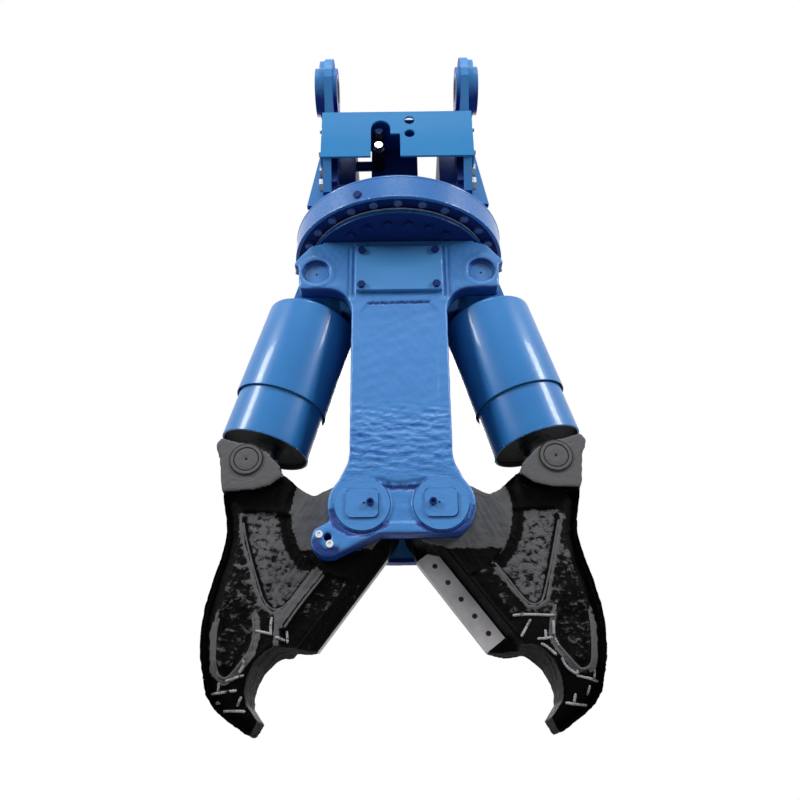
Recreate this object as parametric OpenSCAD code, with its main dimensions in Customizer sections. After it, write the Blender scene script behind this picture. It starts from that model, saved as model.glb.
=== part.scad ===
// Rotating twin-cylinder concrete pulverizer for an excavator, hanging jaws-down and open.
// Origin: centre of the front bracket pin. +Z up along the slewing axis, -Y to the front, +X to the right.
// All lengths are in millimetres.

/* [Bracket] */
// Diameter of the excavator's bracket pins
pin_d = 80; // [60:1:100]
// Distance between the two bracket pins
pin_pitch = 440; // [400:1:520]
// Height of the bracket pins over the slewing plane
pin_rise = 440; // [400:1:520]
// Clear width between the inner bosses, for the arm's nose
arm_gap = 328; // [300:1:360]
// Thickness of a side plate
plate_t = 22; // [16:1:30]
// Thickness of the outer doubler round a lobe
doubler_t = 14; // [8:1:20]
// Length of the outer boss beyond the doubler
outer_boss_t = 14; // [8:1:20]
// Length of the inner boss
inner_boss_t = 10; // [6:1:16]
// Radius of a pin lobe
lobe_r = 88; // [80:1:110]
// Radius of a pin boss
boss_r = 64; // [58:1:76]
// Wall of a hardened pin bush
bush_t = 9; // [6:0.5:11]
// Thickness of the deck plate
deck_t = 24; // [16:1:32]
// Size of a side bolt's thread
side_bolt_d = 20; // [14:1:24]

/* [Hose guard] */
// Thickness of the folded sheet
guard_sheet_t = 6; // [4:0.5:10]
// Height of the sheet
guard_h = 160; // [130:1:175]
// Height of its lower edge over the slewing plane
guard_z = 166; // [150:1:185]
// Depth of its folded side flanges
guard_flange = 46; // [36:1:60]

/* [Slewing unit] */
// Outer radius of the slewing drum
drum_r = 286; // [280:1:310]
// Height of the drum over the slewing plane
drum_h = 88; // [84:1:110]
// Thickness of the drum's top plate
drum_top_t = 26; // [18:1:30]
// Wall of the drum's skirt
drum_wall = 8; // [6:0.5:12]
// Height of the drum's upper bevel
drum_bevel = 18; // [10:1:22]
// Number of bolts in the outer race
drum_bolt_n = 26; // [16:2:30]
// Thread of the race bolts
race_bolt_d = 14; // [10:1:16]
// Distance from the drum's outside in to the row of balls
ball_row_in = 66; // [64:1:70]
// Radius of a ball
ball_r = 10; // [8:0.5:11]
// Number of balls
ball_n = 40; // [20:2:48]
// Teeth of the internal ring gear
ring_teeth = 84; // [84:2:84]
// Teeth of the motor's pinion
pinion_teeth = 14; // [14:1:14]
// Distance from the drum's outside in to the ring gear's pitch circle
gear_in = 97; // [97:1:100]
// Distance from the drum's outside in to the edge of the frame's round top flange
flange_in = 42; // [40:1:50]
// Thickness of the frame's round top flange
flange_t = 16; // [12:1:22]

/* [Frame] */
// Depth of the frame over both cheeks
frame_d = 268; // [250:1:300]
// Thickness of a cheek
cheek_t = 40; // [30:1:46]
// Width of the frame's waist
waist_w = 244; // [228:1:260]
// Distance between the cylinders' upper pins
ear_gap = 428; // [410:1:450]
// Depth of the upper pins under the slewing plane
ear_drop = 113; // [105:1:120]
// Radius of a cylinder pin, upper and lower
cyl_pin_r = 30; // [26:1:34]
// Thickness of the side webs between the cheeks
web_t = 16; // [12:1:24]
// Width of a service cover
cover_w = 220; // [190:1:228]
// Height of a service cover
cover_h = 136; // [110:1:140]
// Thickness of a service cover
cover_t = 10; // [6:1:14]

/* [Jaws] */
// Distance between the two main pins
pivot_gap = 176; // [172:1:190]
// Depth of the main pins under the slewing plane
pivot_drop = 748; // [730:1:780]
// Radius of a main pin
main_pin_r = 45; // [38:1:48]
// Radius of a jaw's hub
hub_r = 85; // [80:1:85]
// Radius of a frame lobe round a main pin
pivot_lobe_r = 79; // [76:1:84]
// Height of a jaw from its pivot down to its tip
jaw_drop = 468; // [450:1:490]
// Reach of a jaw outwards from its pivot
jaw_reach = 344; // [330:1:360]
// Half the thickness of a jaw's body
jaw_half_t = 88; // [80:1:88]
// Half the thickness of a jaw's tip
tip_half_t = 44; // [40:1:70]
// Distance from a pivot to its jaw's cutting edge
edge_offset = 102; // [100:1:106]
// Lean of the cutting edge from the vertical, jaws open
edge_lean = 36.8; // [35:0.1:38]
// Length of a shear blade
blade_len = 254; // [240:1:258]
// Width of a shear blade
blade_w = 50; // [42:1:54]
// Thickness of a shear blade
blade_t = 25; // [18:1:30]
// Outward distance from a pivot to its rod pin
rod_pin_x = 270; // [260:1:280]
// Height of a rod pin over its pivot
rod_pin_z = 117; // [110:1:124]

/* [Cylinders] */
// Outer radius of the upper guard
guard_r = 118; // [112:1:120]
// Wall of both guards
guard_wall = 5; // [3:0.5:6]
// Length of the upper guard
upper_guard_len = 262; // [250:1:270]
// Distance from the rod pin to the lower guard's mouth
mouth_gap = 75; // [72:1:90]
// Length of the lower guard
lower_guard_len = 336; // [330:1:345]
// Outer radius of a barrel
barrel_r = 76; // [70:1:84]
// Bore radius of a barrel
bore_r = 60; // [54:1:64]
// Radius of a rod
rod_r = 40; // [34:1:44]
// Length of a piston
piston_len = 50; // [40:1:60]

/* [Hidden] */
$fn = 64;

// Fits and clearances
fit = 0.05;
gap = 0.3;
slack = 2;
over = 1;

// Heights and half widths
ear_x = ear_gap / 2;
pivot_x = pivot_gap / 2;
cheek_y = frame_d / 2;
cheek_in = cheek_y - cheek_t;
plate_in = arm_gap / 2 + inner_boss_t;
plate_out = plate_in + plate_t;
boss_out = plate_out + doubler_t + outer_boss_t;
deck_top = drum_h + deck_t;
race_top = drum_h - drum_top_t;
ball_row_r = drum_r - ball_row_in;
flange_r = drum_r - flange_in;
ring_pitch_r = drum_r - gear_in;
gear_module = ring_pitch_r * 2 / ring_teeth;

// Cylinder line from the ear pin to the rod pin
rod_x = pivot_x + rod_pin_x;
rod_z = -pivot_drop + rod_pin_z;
cyl_dx = rod_x - ear_x;
cyl_dz = -ear_drop - rod_z;
cyl_len = sqrt(cyl_dx * cyl_dx + cyl_dz * cyl_dz);
cyl_tilt = atan2(cyl_dx, cyl_dz);

// Colours
enamel = [0.16, 0.42, 0.74];
navy = [0.07, 0.14, 0.36];
cast_black = [0.10, 0.10, 0.11];
steel = [0.62, 0.62, 0.64];
bright = [0.82, 0.83, 0.85];
bronze = [0.62, 0.47, 0.25];

// Helpers

// Everything below is drawn round the slewing axis; this puts the origin at the front bracket pin
module from_slew() {
    translate([0, pin_pitch / 2, -pin_rise]) children();
}

// The rotating half is the same after half a turn
module half_turn() {
    rotate([0, 0, 180]) children();
}

// Extrudes an outline drawn in X and Z from depth y0 to y1
module slab(y0, y1) {
    translate([0, y1, 0]) rotate([90, 0, 0]) linear_extrude(y1 - y0) children();
}

// Extrudes an outline drawn in Y and Z from x0 to x1
module side_slab(x0, x1) {
    translate([x0, 0, 0]) rotate([90, 0, 90]) linear_extrude(x1 - x0) children();
}

module disc_y(r, y0, y1, x, z) {
    translate([x, y1, z]) rotate([90, 0, 0]) cylinder(r = r, h = y1 - y0);
}

module disc_x(r, x0, x1, y, z) {
    translate([x0, y, z]) rotate([0, 90, 0]) cylinder(r = r, h = x1 - x0);
}

module disc_z(r, z0, z1) {
    translate([0, 0, z0]) cylinder(r = r, h = z1 - z0);
}

function mirror_x(points) = [for (p = points) [-p[0], p[1]]];
function reversed(points) = [for (i = [len(points) - 1 : -1 : 0]) points[i]];
function arc(cx, cz, r, a0, a1, n = 12) = [for (i = [0 : n]) let (a = a0 + (a1 - a0) * i / n) [cx + r * cos(a), cz + r * sin(a)]];

// A hexagon screw: its head's seat at the origin, head up along +Z, thread down
module screw(d, grip) {
    cylinder(r = d * 0.87, h = d * 0.6, $fn = 6);
    translate([0, 0, -grip]) cylinder(r = d / 2, h = grip);
}

// The same with a socket head
module cap_screw(d, grip) {
    difference() {
        cylinder(r = d * 0.75, h = d * 0.8);
        translate([0, 0, d * 0.35]) cylinder(r = d * 0.45, h = d, $fn = 6);
    }
    translate([0, 0, -grip]) cylinder(r = d / 2, h = grip);
}

// Bracket: the side plates carry two pins each

foot_y = pin_pitch / 2 - slack * 6;
knee_y = pin_pitch / 2 + lobe_r / 3;
knee_z = guard_z;
shoulder_z = guard_z + guard_h + slack;
saddle_z = pin_rise - lobe_r * 1.7;
rib_y = pin_pitch / 3;
rib_t = plate_t * 0.7;
rib_w = plate_t * 2.2;
rib_h = pin_rise * 0.68;
side_bolt_y = foot_y * 0.93;
side_bolt_pitch = guard_h * 0.3;
side_bolt_z = drum_h + side_bolt_pitch * 0.75;

function plate_outline() = concat(
    [[-foot_y, drum_h + gap], [foot_y, drum_h + gap], [knee_y, knee_z], [knee_y, shoulder_z]],
    arc(pin_pitch / 2, pin_rise, lobe_r, -20, 165),
    [[lobe_r * 0.9, saddle_z], [-lobe_r * 0.9, saddle_z]],
    arc(-pin_pitch / 2, pin_rise, lobe_r, 15, 200),
    [[-knee_y, shoulder_z], [-knee_y, knee_z]]
);

module bracket_plate(side) {
    color(enamel) scale([side, 1, 1]) difference() {
        union() {
            side_slab(plate_in, plate_out) polygon(plate_outline());
            for (y = [-pin_pitch / 2, pin_pitch / 2]) {
                disc_x(lobe_r * 0.94, plate_out, plate_out + doubler_t, y, pin_rise);
                disc_x(boss_r, plate_out, boss_out, y, pin_rise);
                disc_x(boss_r, arm_gap / 2, plate_in, y, pin_rise);
            }
            for (y = [-rib_y, rib_y])
                slab(y - rib_t / 2, y + rib_t / 2)
                    polygon([[plate_out, drum_h + gap], [plate_out + rib_w, drum_h + gap], [plate_out, drum_h + rib_h]]);
        }
        for (y = [-pin_pitch / 2, pin_pitch / 2])
            disc_x(pin_d / 2 + bush_t, arm_gap / 2 - over, boss_out + over, y, pin_rise);
        for (y = [-side_bolt_y, side_bolt_y], i = [0 : 2])
            disc_x(side_bolt_d / 2 + gap, plate_in - over, plate_out + over, y, side_bolt_z + i * side_bolt_pitch);
    }
}

module bracket_plate_left() { from_slew() bracket_plate(-1); }
module bracket_plate_right() { from_slew() bracket_plate(1); }

module pin_bushes() {
    color(steel) from_slew() for (side = [-1, 1], y = [-pin_pitch / 2, pin_pitch / 2])
        scale([side, 1, 1]) difference() {
            disc_x(pin_d / 2 + bush_t, arm_gap / 2, boss_out, y, pin_rise);
            disc_x(pin_d / 2 + fit, arm_gap / 2 - over, boss_out + over, y, pin_rise);
        }
}

// The deck joins the side plates and is bolted on the drum
core_r = 30;
core_port_r = core_r + slack * 6;
pinion_centre = gear_module * (ring_teeth - pinion_teeth) / 2;
motor_shaft_r = 18;
motor_flange_r = 62;
deck_bolt_d = 20;
column_in = plate_in * 0.66;
deck_bolt_x = (column_in + rib_t + plate_in) / 2;
deck_bolt_y = pin_pitch * 0.23;
deck_bolt_places = [for (sx = [-1, 1], sy = [-1, 1]) [sx * deck_bolt_x, sy * deck_bolt_y, 0]];

module deck_plate() {
    color(navy) from_slew() difference() {
        translate([-plate_in, -foot_y, drum_h]) cube([plate_in * 2, foot_y * 2, deck_t]);
        disc_z(core_port_r, drum_h - over, deck_top + over);
        translate([0, pinion_centre, 0]) disc_z(motor_shaft_r + slack * 3, drum_h - over, deck_top + over);
        for (place = deck_bolt_places) translate(place)
            disc_z(deck_bolt_d / 2 + gap, drum_h - over, deck_top + over);
    }
}

// Inner uprights: a front and a rear cross web and a web between them
column_y = rib_y + rib_t;
column_h = pin_rise * 0.5;

module column(side) {
    color(navy) scale([side, 1, 1]) difference() {
        union() {
            for (y = [-column_y, column_y - rib_t])
                translate([column_in, y, deck_top]) cube([plate_in - column_in, rib_t, column_h]);
            translate([column_in, -column_y, deck_top]) cube([rib_t, column_y * 2, column_h]);
            for (y = [-side_bolt_y, side_bolt_y])
                translate([plate_in - rib_t, y - side_bolt_d * 1.4, deck_top])
                    cube([rib_t, side_bolt_d * 2.8, side_bolt_pitch * 2.6]);
            for (y = [-side_bolt_y, column_y - over])
                translate([plate_in - rib_t, y, deck_top])
                    cube([rib_t, side_bolt_y - column_y + over, side_bolt_pitch * 2.6]);
        }
        for (y = [-side_bolt_y, side_bolt_y], i = [0 : 2])
            disc_x(side_bolt_d / 2 + gap, plate_in - rib_t - over, plate_in + over, y, side_bolt_z + i * side_bolt_pitch);
    }
}

module column_left() { from_slew() column(-1); }
module column_right() { from_slew() column(1); }

module bracket_bolts() {
    color(steel) from_slew() for (side = [-1, 1], y = [-side_bolt_y, side_bolt_y], i = [0 : 2])
        scale([side, 1, 1]) translate([plate_out, y, side_bolt_z + i * side_bolt_pitch]) rotate([0, 90, 0])
            screw(side_bolt_d, plate_t + rib_t);
}

module deck_bolts() {
    color(steel) from_slew() for (place = deck_bolt_places) translate(place)
        translate([0, 0, deck_top]) screw(deck_bolt_d, deck_t + drum_top_t * 0.7);
}

// Hose guard: a folded sheet across the front, its flanges bolted to the plates' outer faces
guard_y = knee_y + guard_sheet_t;
slot_x0 = -70;
slot_x1 = 8;
slot_step_x = -18;
slot_step_z = guard_h * 0.5;
slot_top_z = guard_h * 0.8;
slot_r = 26;
port_hole_r = 14;
guard_bolt_d = 12;
guard_bolt_y = knee_y - guard_flange * 0.5;

module hose_guard() {
    color(enamel) from_slew() translate([0, 0, guard_z]) difference() {
        union() {
            slab(-guard_y, -guard_y + guard_sheet_t)
                polygon([[-plate_out - guard_sheet_t, 0], [plate_out + guard_sheet_t, 0],
                    [plate_out + guard_sheet_t, guard_h], [-plate_out - guard_sheet_t, guard_h]]);
            for (x = [-plate_out - guard_sheet_t, plate_out])
                translate([x, -guard_y, 0]) cube([guard_sheet_t, guard_flange, guard_h]);
        }
        slab(-guard_y - over, -guard_y + guard_sheet_t + over) polygon(concat(
            [[slot_x0, -over]],
            reversed(arc(slot_x0 + slot_r, slot_top_z - slot_r, slot_r, 90, 180, 6)),
            reversed(arc(slot_step_x - slot_r, slot_top_z - slot_r, slot_r, 0, 90, 6)),
            [[slot_step_x, slot_step_z], [slot_x1, slot_step_z], [slot_x1, -over]]));
        for (z = [slot_step_z, slot_top_z])
            disc_y(port_hole_r, -guard_y - over, -guard_y + guard_sheet_t + over, slot_x1 + port_hole_r * 1.8, z);
        for (x = [-plate_out - guard_sheet_t, plate_out], z = [guard_h * 0.25, guard_h * 0.75])
            disc_x(guard_bolt_d / 2 + gap, x - over, x + guard_sheet_t + over, -guard_bolt_y, z);
    }
}

module hose_guard_bolts() {
    color(steel) from_slew() for (side = [-1, 1], z = [guard_h * 0.25, guard_h * 0.75])
        scale([side, 1, 1]) translate([plate_out + guard_sheet_t, -guard_bolt_y, guard_z + z]) rotate([0, 90, 0])
            screw(guard_bolt_d, guard_sheet_t);
}

// Rotary oil joint: block on the deck, spool inside it, two capped fittings on its front
block_x0 = -72;
block_x1 = 56;
block_front = 140;
block_back = 66;
block_h = 196;
fitting_x = -50;
fitting_z = [deck_top + block_h * 0.62, deck_top + block_h * 0.88];
fitting_r = 12;
fitting_len = 72;
cap_len = 16;
cap_r = 11;
drain_r = 14;

module manifold_block() {
    color(navy) from_slew() difference() {
        translate([block_x0, -block_front, deck_top]) cube([block_x1 - block_x0, block_front + block_back, block_h]);
        disc_z(core_r + fit, deck_top - over, deck_top + block_h * 0.85);
    }
}

module port_fittings() {
    color(steel) from_slew() for (z = fitting_z) translate([fitting_x, -block_front, z]) rotate([90, 0, 0]) {
        cylinder(r = fitting_r * 1.35, h = fitting_len * 0.4, $fn = 6);
        cylinder(r = fitting_r, h = fitting_len * 0.6);
        translate([0, 0, fitting_len * 0.6]) cylinder(r = fitting_r * 1.25, h = fitting_len * 0.4, $fn = 6);
    }
}

module fitting_caps() {
    color(bright) from_slew() for (z = fitting_z)
        translate([fitting_x, -block_front - fitting_len, z]) rotate([90, 0, 0]) cylinder(r = cap_r, h = cap_len);
}

module drain_pipe() {
    color(navy) from_slew()
        disc_x(drain_r, -column_in, block_x0, -block_front * 0.8, deck_top + block_h * 0.79);
}

// Slewing drive: motor on the deck, its pinion inside the ring gear
motor_r = 52;
motor_h = 170;
gear_z0 = 22;
gear_h = 34;
pressure_angle = 20;
backlash = 0.35;

// Involute flank point of a gear with base radius rb at radius r: the angle it has turned off the base point
function involute_angle(rb, r) = let (t = sqrt(max(0, r * r / rb / rb - 1))) t * 180 / PI - atan(t);

// Outline of a gear with n teeth: half tooth angle at the pitch circle, flanks from root to tip radius
function gear_points(n, m, root_r, tip_r, play) =
    let (pitch_r = n * m / 2, rb = pitch_r * cos(pressure_angle),
        half = 90 / n - play / 2 / pitch_r * 180 / PI,
        base = half + involute_angle(rb, pitch_r), start_r = max(root_r, rb))
    [for (i = [0 : n - 1]) let (a = i * 360 / n) each concat(
        [let (b = a - base + involute_angle(rb, start_r)) root_r * [cos(b), sin(b)]],
        [for (k = [0 : 4]) let (r = start_r + (tip_r - start_r) * k / 4, b = a - base + involute_angle(rb, r)) r * [cos(b), sin(b)]],
        [for (k = [4 : -1 : 0]) let (r = start_r + (tip_r - start_r) * k / 4, b = a + base - involute_angle(rb, r)) r * [cos(b), sin(b)]],
        [let (b = a + base - involute_angle(rb, start_r)) root_r * [cos(b), sin(b)]])];

pinion_pitch_r = pinion_teeth * gear_module / 2;

module slew_motor() {
    color(navy) from_slew() translate([0, pinion_centre, 0]) {
        disc_z(motor_flange_r, deck_top, deck_top + deck_t * 0.7);
        disc_z(motor_r, deck_top, deck_top + motor_h);
        disc_z(motor_r * 0.6, deck_top + motor_h, deck_top + motor_h * 1.12);
    }
}

module pinion() {
    color(steel) from_slew() translate([0, pinion_centre, 0]) {
        translate([0, 0, gear_z0]) linear_extrude(gear_h)
            rotate([0, 0, 90]) polygon(gear_points(pinion_teeth, gear_module, pinion_pitch_r - gear_module * 1.15,
                pinion_pitch_r + gear_module * 0.8, backlash));
        disc_z(motor_shaft_r, gear_z0, deck_top - gap);
    }
}

// Drum: skirt and top plate in one, the outer race bolted up into it
skirt_in = drum_r - drum_wall;
outer_race_in = ball_row_r + slack * 3;
inner_race_out = ball_row_r - slack * 3;
race_bottom = 10;
drum_bolt_ring = (skirt_in + outer_race_in) / 2 + slack * 3;
race_mid_z = (race_bottom + race_top) / 2;

module drum() {
    color(enamel) from_slew() difference() {
        rotate_extrude($fn = 128) polygon([
            [core_port_r, race_top], [skirt_in, race_top], [skirt_in, 0], [drum_r, 0],
            [drum_r, drum_h - drum_bevel], [drum_r - drum_bevel, drum_h], [core_port_r, drum_h]]);
        translate([0, pinion_centre, 0]) disc_z(motor_shaft_r + slack * 3, race_top - over, drum_h + over);
        for (place = deck_bolt_places) translate(place)
            disc_z(deck_bolt_d / 2, drum_h - drum_top_t * 0.7, drum_h + over);
        for (i = [0 : drum_bolt_n - 1]) rotate([0, 0, i * 360 / drum_bolt_n - 90]) translate([drum_bolt_ring, 0, 0])
            disc_z(race_bolt_d / 2, race_top - over, race_top + race_bolt_d);
        for (a = plug_angles) rotate([0, 0, a]) disc_x(plug_r, skirt_in - over, drum_r + over, 0, plug_z);
    }
}

plug_angles = [249, 69];
plug_r = 9;
plug_z = 24;

module drum_plugs() {
    color(navy) from_slew() for (a = plug_angles) rotate([0, 0, a]) {
        disc_x(plug_r, skirt_in, drum_r, 0, plug_z);
        disc_x(plug_r * 1.2, drum_r, drum_r + plug_r * 0.4, 0, plug_z);
    }
}

module outer_race() {
    color(navy) from_slew() difference() {
        rotate_extrude($fn = 128) difference() {
            translate([outer_race_in, race_bottom]) square([skirt_in - gap - outer_race_in, race_top - race_bottom]);
            translate([ball_row_r, race_mid_z]) circle(r = ball_r + fit);
        }
        for (i = [0 : drum_bolt_n - 1]) rotate([0, 0, i * 360 / drum_bolt_n - 90]) translate([drum_bolt_ring, 0, 0])
            disc_z(race_bolt_d / 2 + gap, race_bottom - over, race_top + over);
    }
}

module drum_bolts() {
    color(steel) from_slew() for (i = [0 : drum_bolt_n - 1]) rotate([0, 0, i * 360 / drum_bolt_n - 90])
        translate([drum_bolt_ring, 0, race_bottom]) rotate([180, 0, 0])
            screw(race_bolt_d, race_top - race_bottom + race_bolt_d);
}

race_bolt_ring = (inner_race_out + ring_pitch_r + gear_module * 2) / 2 - slack;
race_bolt_n = 24;
race_hole_top = race_mid_z - ball_r - slack;
// The screws that the cheeks would cover are left out
race_bolt_angles = [for (i = [0 : race_bolt_n - 1]) let (a = (i + 0.5) * 360 / race_bolt_n)
    if (abs(abs(race_bolt_ring * sin(a)) - (cheek_y + cheek_in) / 2) > cheek_t / 2 + race_bolt_d) a];
inner_race_top = race_top - slack * 2;

module inner_race() {
    color(steel) from_slew() difference() {
        rotate_extrude($fn = 128) difference() {
            translate([ring_pitch_r - gear_module * 0.8, 0])
                square([inner_race_out - ring_pitch_r + gear_module * 0.8, inner_race_top]);
            translate([ball_row_r, race_mid_z]) circle(r = ball_r + fit);
        }
        translate([0, 0, -over]) linear_extrude(inner_race_top + over * 2)
            rotate([0, 0, 90]) polygon(gear_points(ring_teeth, gear_module, ring_pitch_r - gear_module,
                ring_pitch_r + gear_module * 1.15, -backlash));
        for (a = race_bolt_angles) rotate([0, 0, a]) translate([race_bolt_ring, 0, 0])
            disc_z(race_bolt_d / 2, -over, race_hole_top);
    }
}

module bearing_balls() {
    color(bright) from_slew() for (i = [0 : ball_n - 1]) rotate([0, 0, i * 360 / ball_n])
        translate([ball_row_r, 0, race_mid_z]) sphere(r = ball_r, $fn = 32);
}

module race_bolts() {
    color(steel) from_slew() for (a = race_bolt_angles) rotate([0, 0, a]) translate([race_bolt_ring, 0, -flange_t])
        rotate([180, 0, 0])
            screw(race_bolt_d, flange_t + race_hole_top);
}

module swivel_core() {
    color(steel) from_slew() disc_z(core_r, -flange_t, deck_top + block_h * 0.8);
}

// Frame: two cheeks with ears and lobes, side webs between them, a round flange on top
cheek_top = -flange_t;
ear_wall = 45;
cheek_bottom = -pivot_drop - pivot_lobe_r * 0.91;
ear_bore_r = cyl_pin_r + slack * 3;
cap_disc_r = 62;
cap_disc_t = 14;
cap_pad = [72, 66];
cap_pad_t = 4;
guide_r = 40;
guide_x = pivot_x + guide_r * 1.82;
guide_z = -pivot_drop - guide_r * 2;
guide_screw_d = 11;
guide_screw_r = guide_screw_d / 2;
guide_hole_r = 9;
guide_bolt_shares = [[-0.5, 0.2], [0.1, -0.35]];
guide_hole_share = [-0.055, 0.1];
guide_pad_r = guide_r * 0.85;
guide_pad_t = cheek_in - jaw_half_t - gap;
fillet_r = 62;

// Right half of a cheek, from the top middle down round the ear and the lobe to the bottom middle
function cheek_half() = concat(
    [[0, cheek_top], [ear_x - ear_wall * 0.6, cheek_top], [ear_x + ear_wall * 0.4, cheek_top - ear_wall * 0.25],
        [ear_x + ear_wall * 1.33, -ear_drop + ear_wall * 0.7], [ear_x + ear_wall * 1.33, -ear_drop + ear_wall * 0.5],
        [ear_x + ear_wall, -ear_drop + ear_wall * 0.33]],
    arc(ear_x + ear_wall * 0.7, -ear_drop - ear_wall * 0.92, ear_wall * 0.3, 0, -90, 4),
    [[ear_x - ear_wall * 0.5, -ear_drop - ear_wall * 1.22]],
    arc(waist_w / 2 + fillet_r, -ear_drop - ear_wall * 1.22 - fillet_r, fillet_r, 90, 180, 8),
    [[waist_w / 2 - slack, -pivot_drop + pivot_lobe_r * 1.5], [waist_w / 2 + slack * 2, -pivot_drop + pivot_lobe_r * 1.2]],
    arc(pivot_x, -pivot_drop, pivot_lobe_r, 44, -60, 12),
    [[0, cheek_bottom]]
);

module cheek(guide_side) {
    polygon(concat(cheek_half(), reversed(mirror_x(cheek_half()))));
    polygon(concat([[guide_side * pivot_x, -pivot_drop]],
        [for (p = arc(guide_x, guide_z, guide_r, 40, -110, 10)) [guide_side * p[0], p[1]]],
        [[guide_side * pivot_x * 0.6, cheek_bottom]]));
}

module frame() {
    color(enamel) from_slew() difference() {
        union() {
            slab(-cheek_y, -cheek_in) cheek(-1);
            slab(cheek_in, cheek_y) cheek(1);
            for (x = [-web_x, web_x - web_t])
                translate([x, -cheek_in - over, web_bottom]) cube([web_t, (cheek_in + over) * 2, -cheek_top - web_bottom]);
            translate([-web_x, -cheek_in - over, web_bottom]) cube([web_x * 2, (cheek_in + over) * 2, web_t]);
            disc_z(flange_r, -flange_t, 0);
        }
        for (side = [-1, 1]) {
            disc_y(main_pin_r + fit, -cheek_y - over, cheek_y + over, side * pivot_x, -pivot_drop);
            for (y = [-cheek_y - over, cheek_y - cap_disc_t])
                disc_y(cap_disc_r + slack, y, y + cap_disc_t + over, side * pivot_x, -pivot_drop);
            disc_y(cyl_pin_r + fit, -cheek_y - over, cheek_y + over, side * ear_x, -ear_drop);
            for (y = [-cheek_y - over, cheek_y - ear_recess])
                disc_y(ear_bore_r, y, y + ear_recess + over, side * ear_x, -ear_drop);
        }
        for (a = race_bolt_angles) rotate([0, 0, a]) translate([race_bolt_ring, 0, 0])
            disc_z(race_bolt_d / 2 + gap, -flange_t - over, over);
        disc_z(core_r, -flange_t - over, over);
        for (turn = [0, 180]) rotate([0, 0, turn]) translate([-guide_x, 0, guide_z]) {
            for (s = guide_bolt_shares)
                disc_y(guide_screw_r, -cheek_y - over, -cheek_in + over, s[0] * guide_r, s[1] * guide_r);
            disc_y(guide_hole_r, -cheek_y - over, -cheek_in + over, guide_hole_share[0] * guide_r, guide_hole_share[1] * guide_r);
        }
    }
}

web_x = waist_w / 2 - web_t * 1.4;
web_bottom = -pivot_drop + hub_r + web_t;
ear_recess = 14;

module front_cover() { from_slew() cover(); }
module rear_cover() { from_slew() half_turn() cover(); }

cover_z = -ear_drop + cover_h * 0.52;
cover_bolt_d = 12;
cover_inset = 14;

module cover() {
    color(enamel) difference() {
        translate([-cover_w / 2, -cheek_y - cover_t, cover_z - cover_h]) cube([cover_w, cover_t, cover_h]);
        for (x = [-cover_w / 2 + cover_inset, cover_w / 2 - cover_inset], z = [-cover_h + cover_inset, -cover_inset])
            disc_y(cover_bolt_d / 2 + gap, -cheek_y - cover_t - over, -cheek_y + over, x, cover_z + z);
    }
}

module cover_bolts() {
    color(steel) from_slew() for (turn = [0, 180]) rotate([0, 0, turn])
        for (x = [-cover_w / 2 + cover_inset, cover_w / 2 - cover_inset], z = [-cover_h + cover_inset, -cover_inset])
            translate([x, -cheek_y - cover_t, cover_z + z]) rotate([90, 0, 0]) screw(cover_bolt_d, cover_t);
}

// Main pins between their caps
pin_end = cheek_y - cap_disc_t;

module main_pin(side) {
    color(steel) disc_y(main_pin_r, -pin_end, pin_end, side * pivot_x, -pivot_drop);
}

module main_pin_left() { from_slew() main_pin(-1); }
module main_pin_right() { from_slew() main_pin(1); }

cap_bolt_d = 14;
cap_bolt_x = 18;

module cap_outline(w, h, r) {
    polygon(concat(arc(w / 2 - r, h / 2 - r, r, 0, 90, 4), arc(-w / 2 + r, h / 2 - r, r, 90, 180, 4),
        arc(-w / 2 + r, -h / 2 + r, r, 180, 270, 4), arc(w / 2 - r, -h / 2 + r, r, 270, 360, 4)));
}

module pin_cap(bolt_side) {
    difference() {
        union() {
            disc_y(cap_disc_r, -cheek_y, -pin_end, 0, 0);
            slab(-cheek_y - cap_pad_t, -cheek_y) cap_outline(cap_pad[0], cap_pad[1], cap_pad[1] / 5);
        }
        disc_y(cap_bolt_d / 2 + gap, -cheek_y - cap_pad_t - over, -pin_end + over, bolt_side * cap_bolt_x, 0);
    }
}

module pin_caps() {
    color(enamel) from_slew() for (turn = [0, 180], side = [-1, 1]) rotate([0, 0, turn])
        translate([side * pivot_x, 0, -pivot_drop]) pin_cap(-side);
}

module cap_bolts() {
    color(steel) from_slew() for (turn = [0, 180], side = [-1, 1]) rotate([0, 0, turn])
        translate([side * (pivot_x - cap_bolt_x), -cheek_y - cap_pad_t, -pivot_drop]) rotate([90, 0, 0])
            cap_screw(cap_bolt_d * 0.8, cap_disc_t + cap_pad_t);
}

module ear_pin(side) {
    color(enamel) disc_y(cyl_pin_r, -cheek_y + ear_recess, cheek_y - ear_recess, side * ear_x, -ear_drop);
}

module ear_pin_left() { from_slew() ear_pin(-1); }
module ear_pin_right() { from_slew() ear_pin(1); }

module guide_pads() {
    color(bronze) from_slew() for (turn = [0, 180]) rotate([0, 0, turn]) translate([-guide_x, 0, guide_z])
        difference() {
            disc_y(guide_pad_r, -cheek_in, -cheek_in + guide_pad_t, 0, 0);
            for (s = guide_bolt_shares)
                disc_y(guide_screw_r, -cheek_in - over, -cheek_in + guide_pad_t / 2, s[0] * guide_r, s[1] * guide_r);
        }
}

module guide_bolts() {
    color(steel) from_slew() for (turn = [0, 180]) rotate([0, 0, turn]) translate([-guide_x, 0, guide_z])
        for (s = guide_bolt_shares) translate([s[0] * guide_r, -cheek_y, s[1] * guide_r])
            rotate([90, 0, 0]) cap_screw(guide_screw_d, cheek_t + guide_pad_t / 2);
}

// Jaws, drawn for the right one with its pivot at the origin; the left one is its half turn
edge_dir = [sin(edge_lean), -cos(edge_lean)];
edge_in = [-cos(edge_lean), -sin(edge_lean)];
edge_start = 45;
function on_edge(along, back) = edge_offset * edge_in + along * edge_dir - back * edge_in;
edge_end = edge_start + blade_len;

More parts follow.
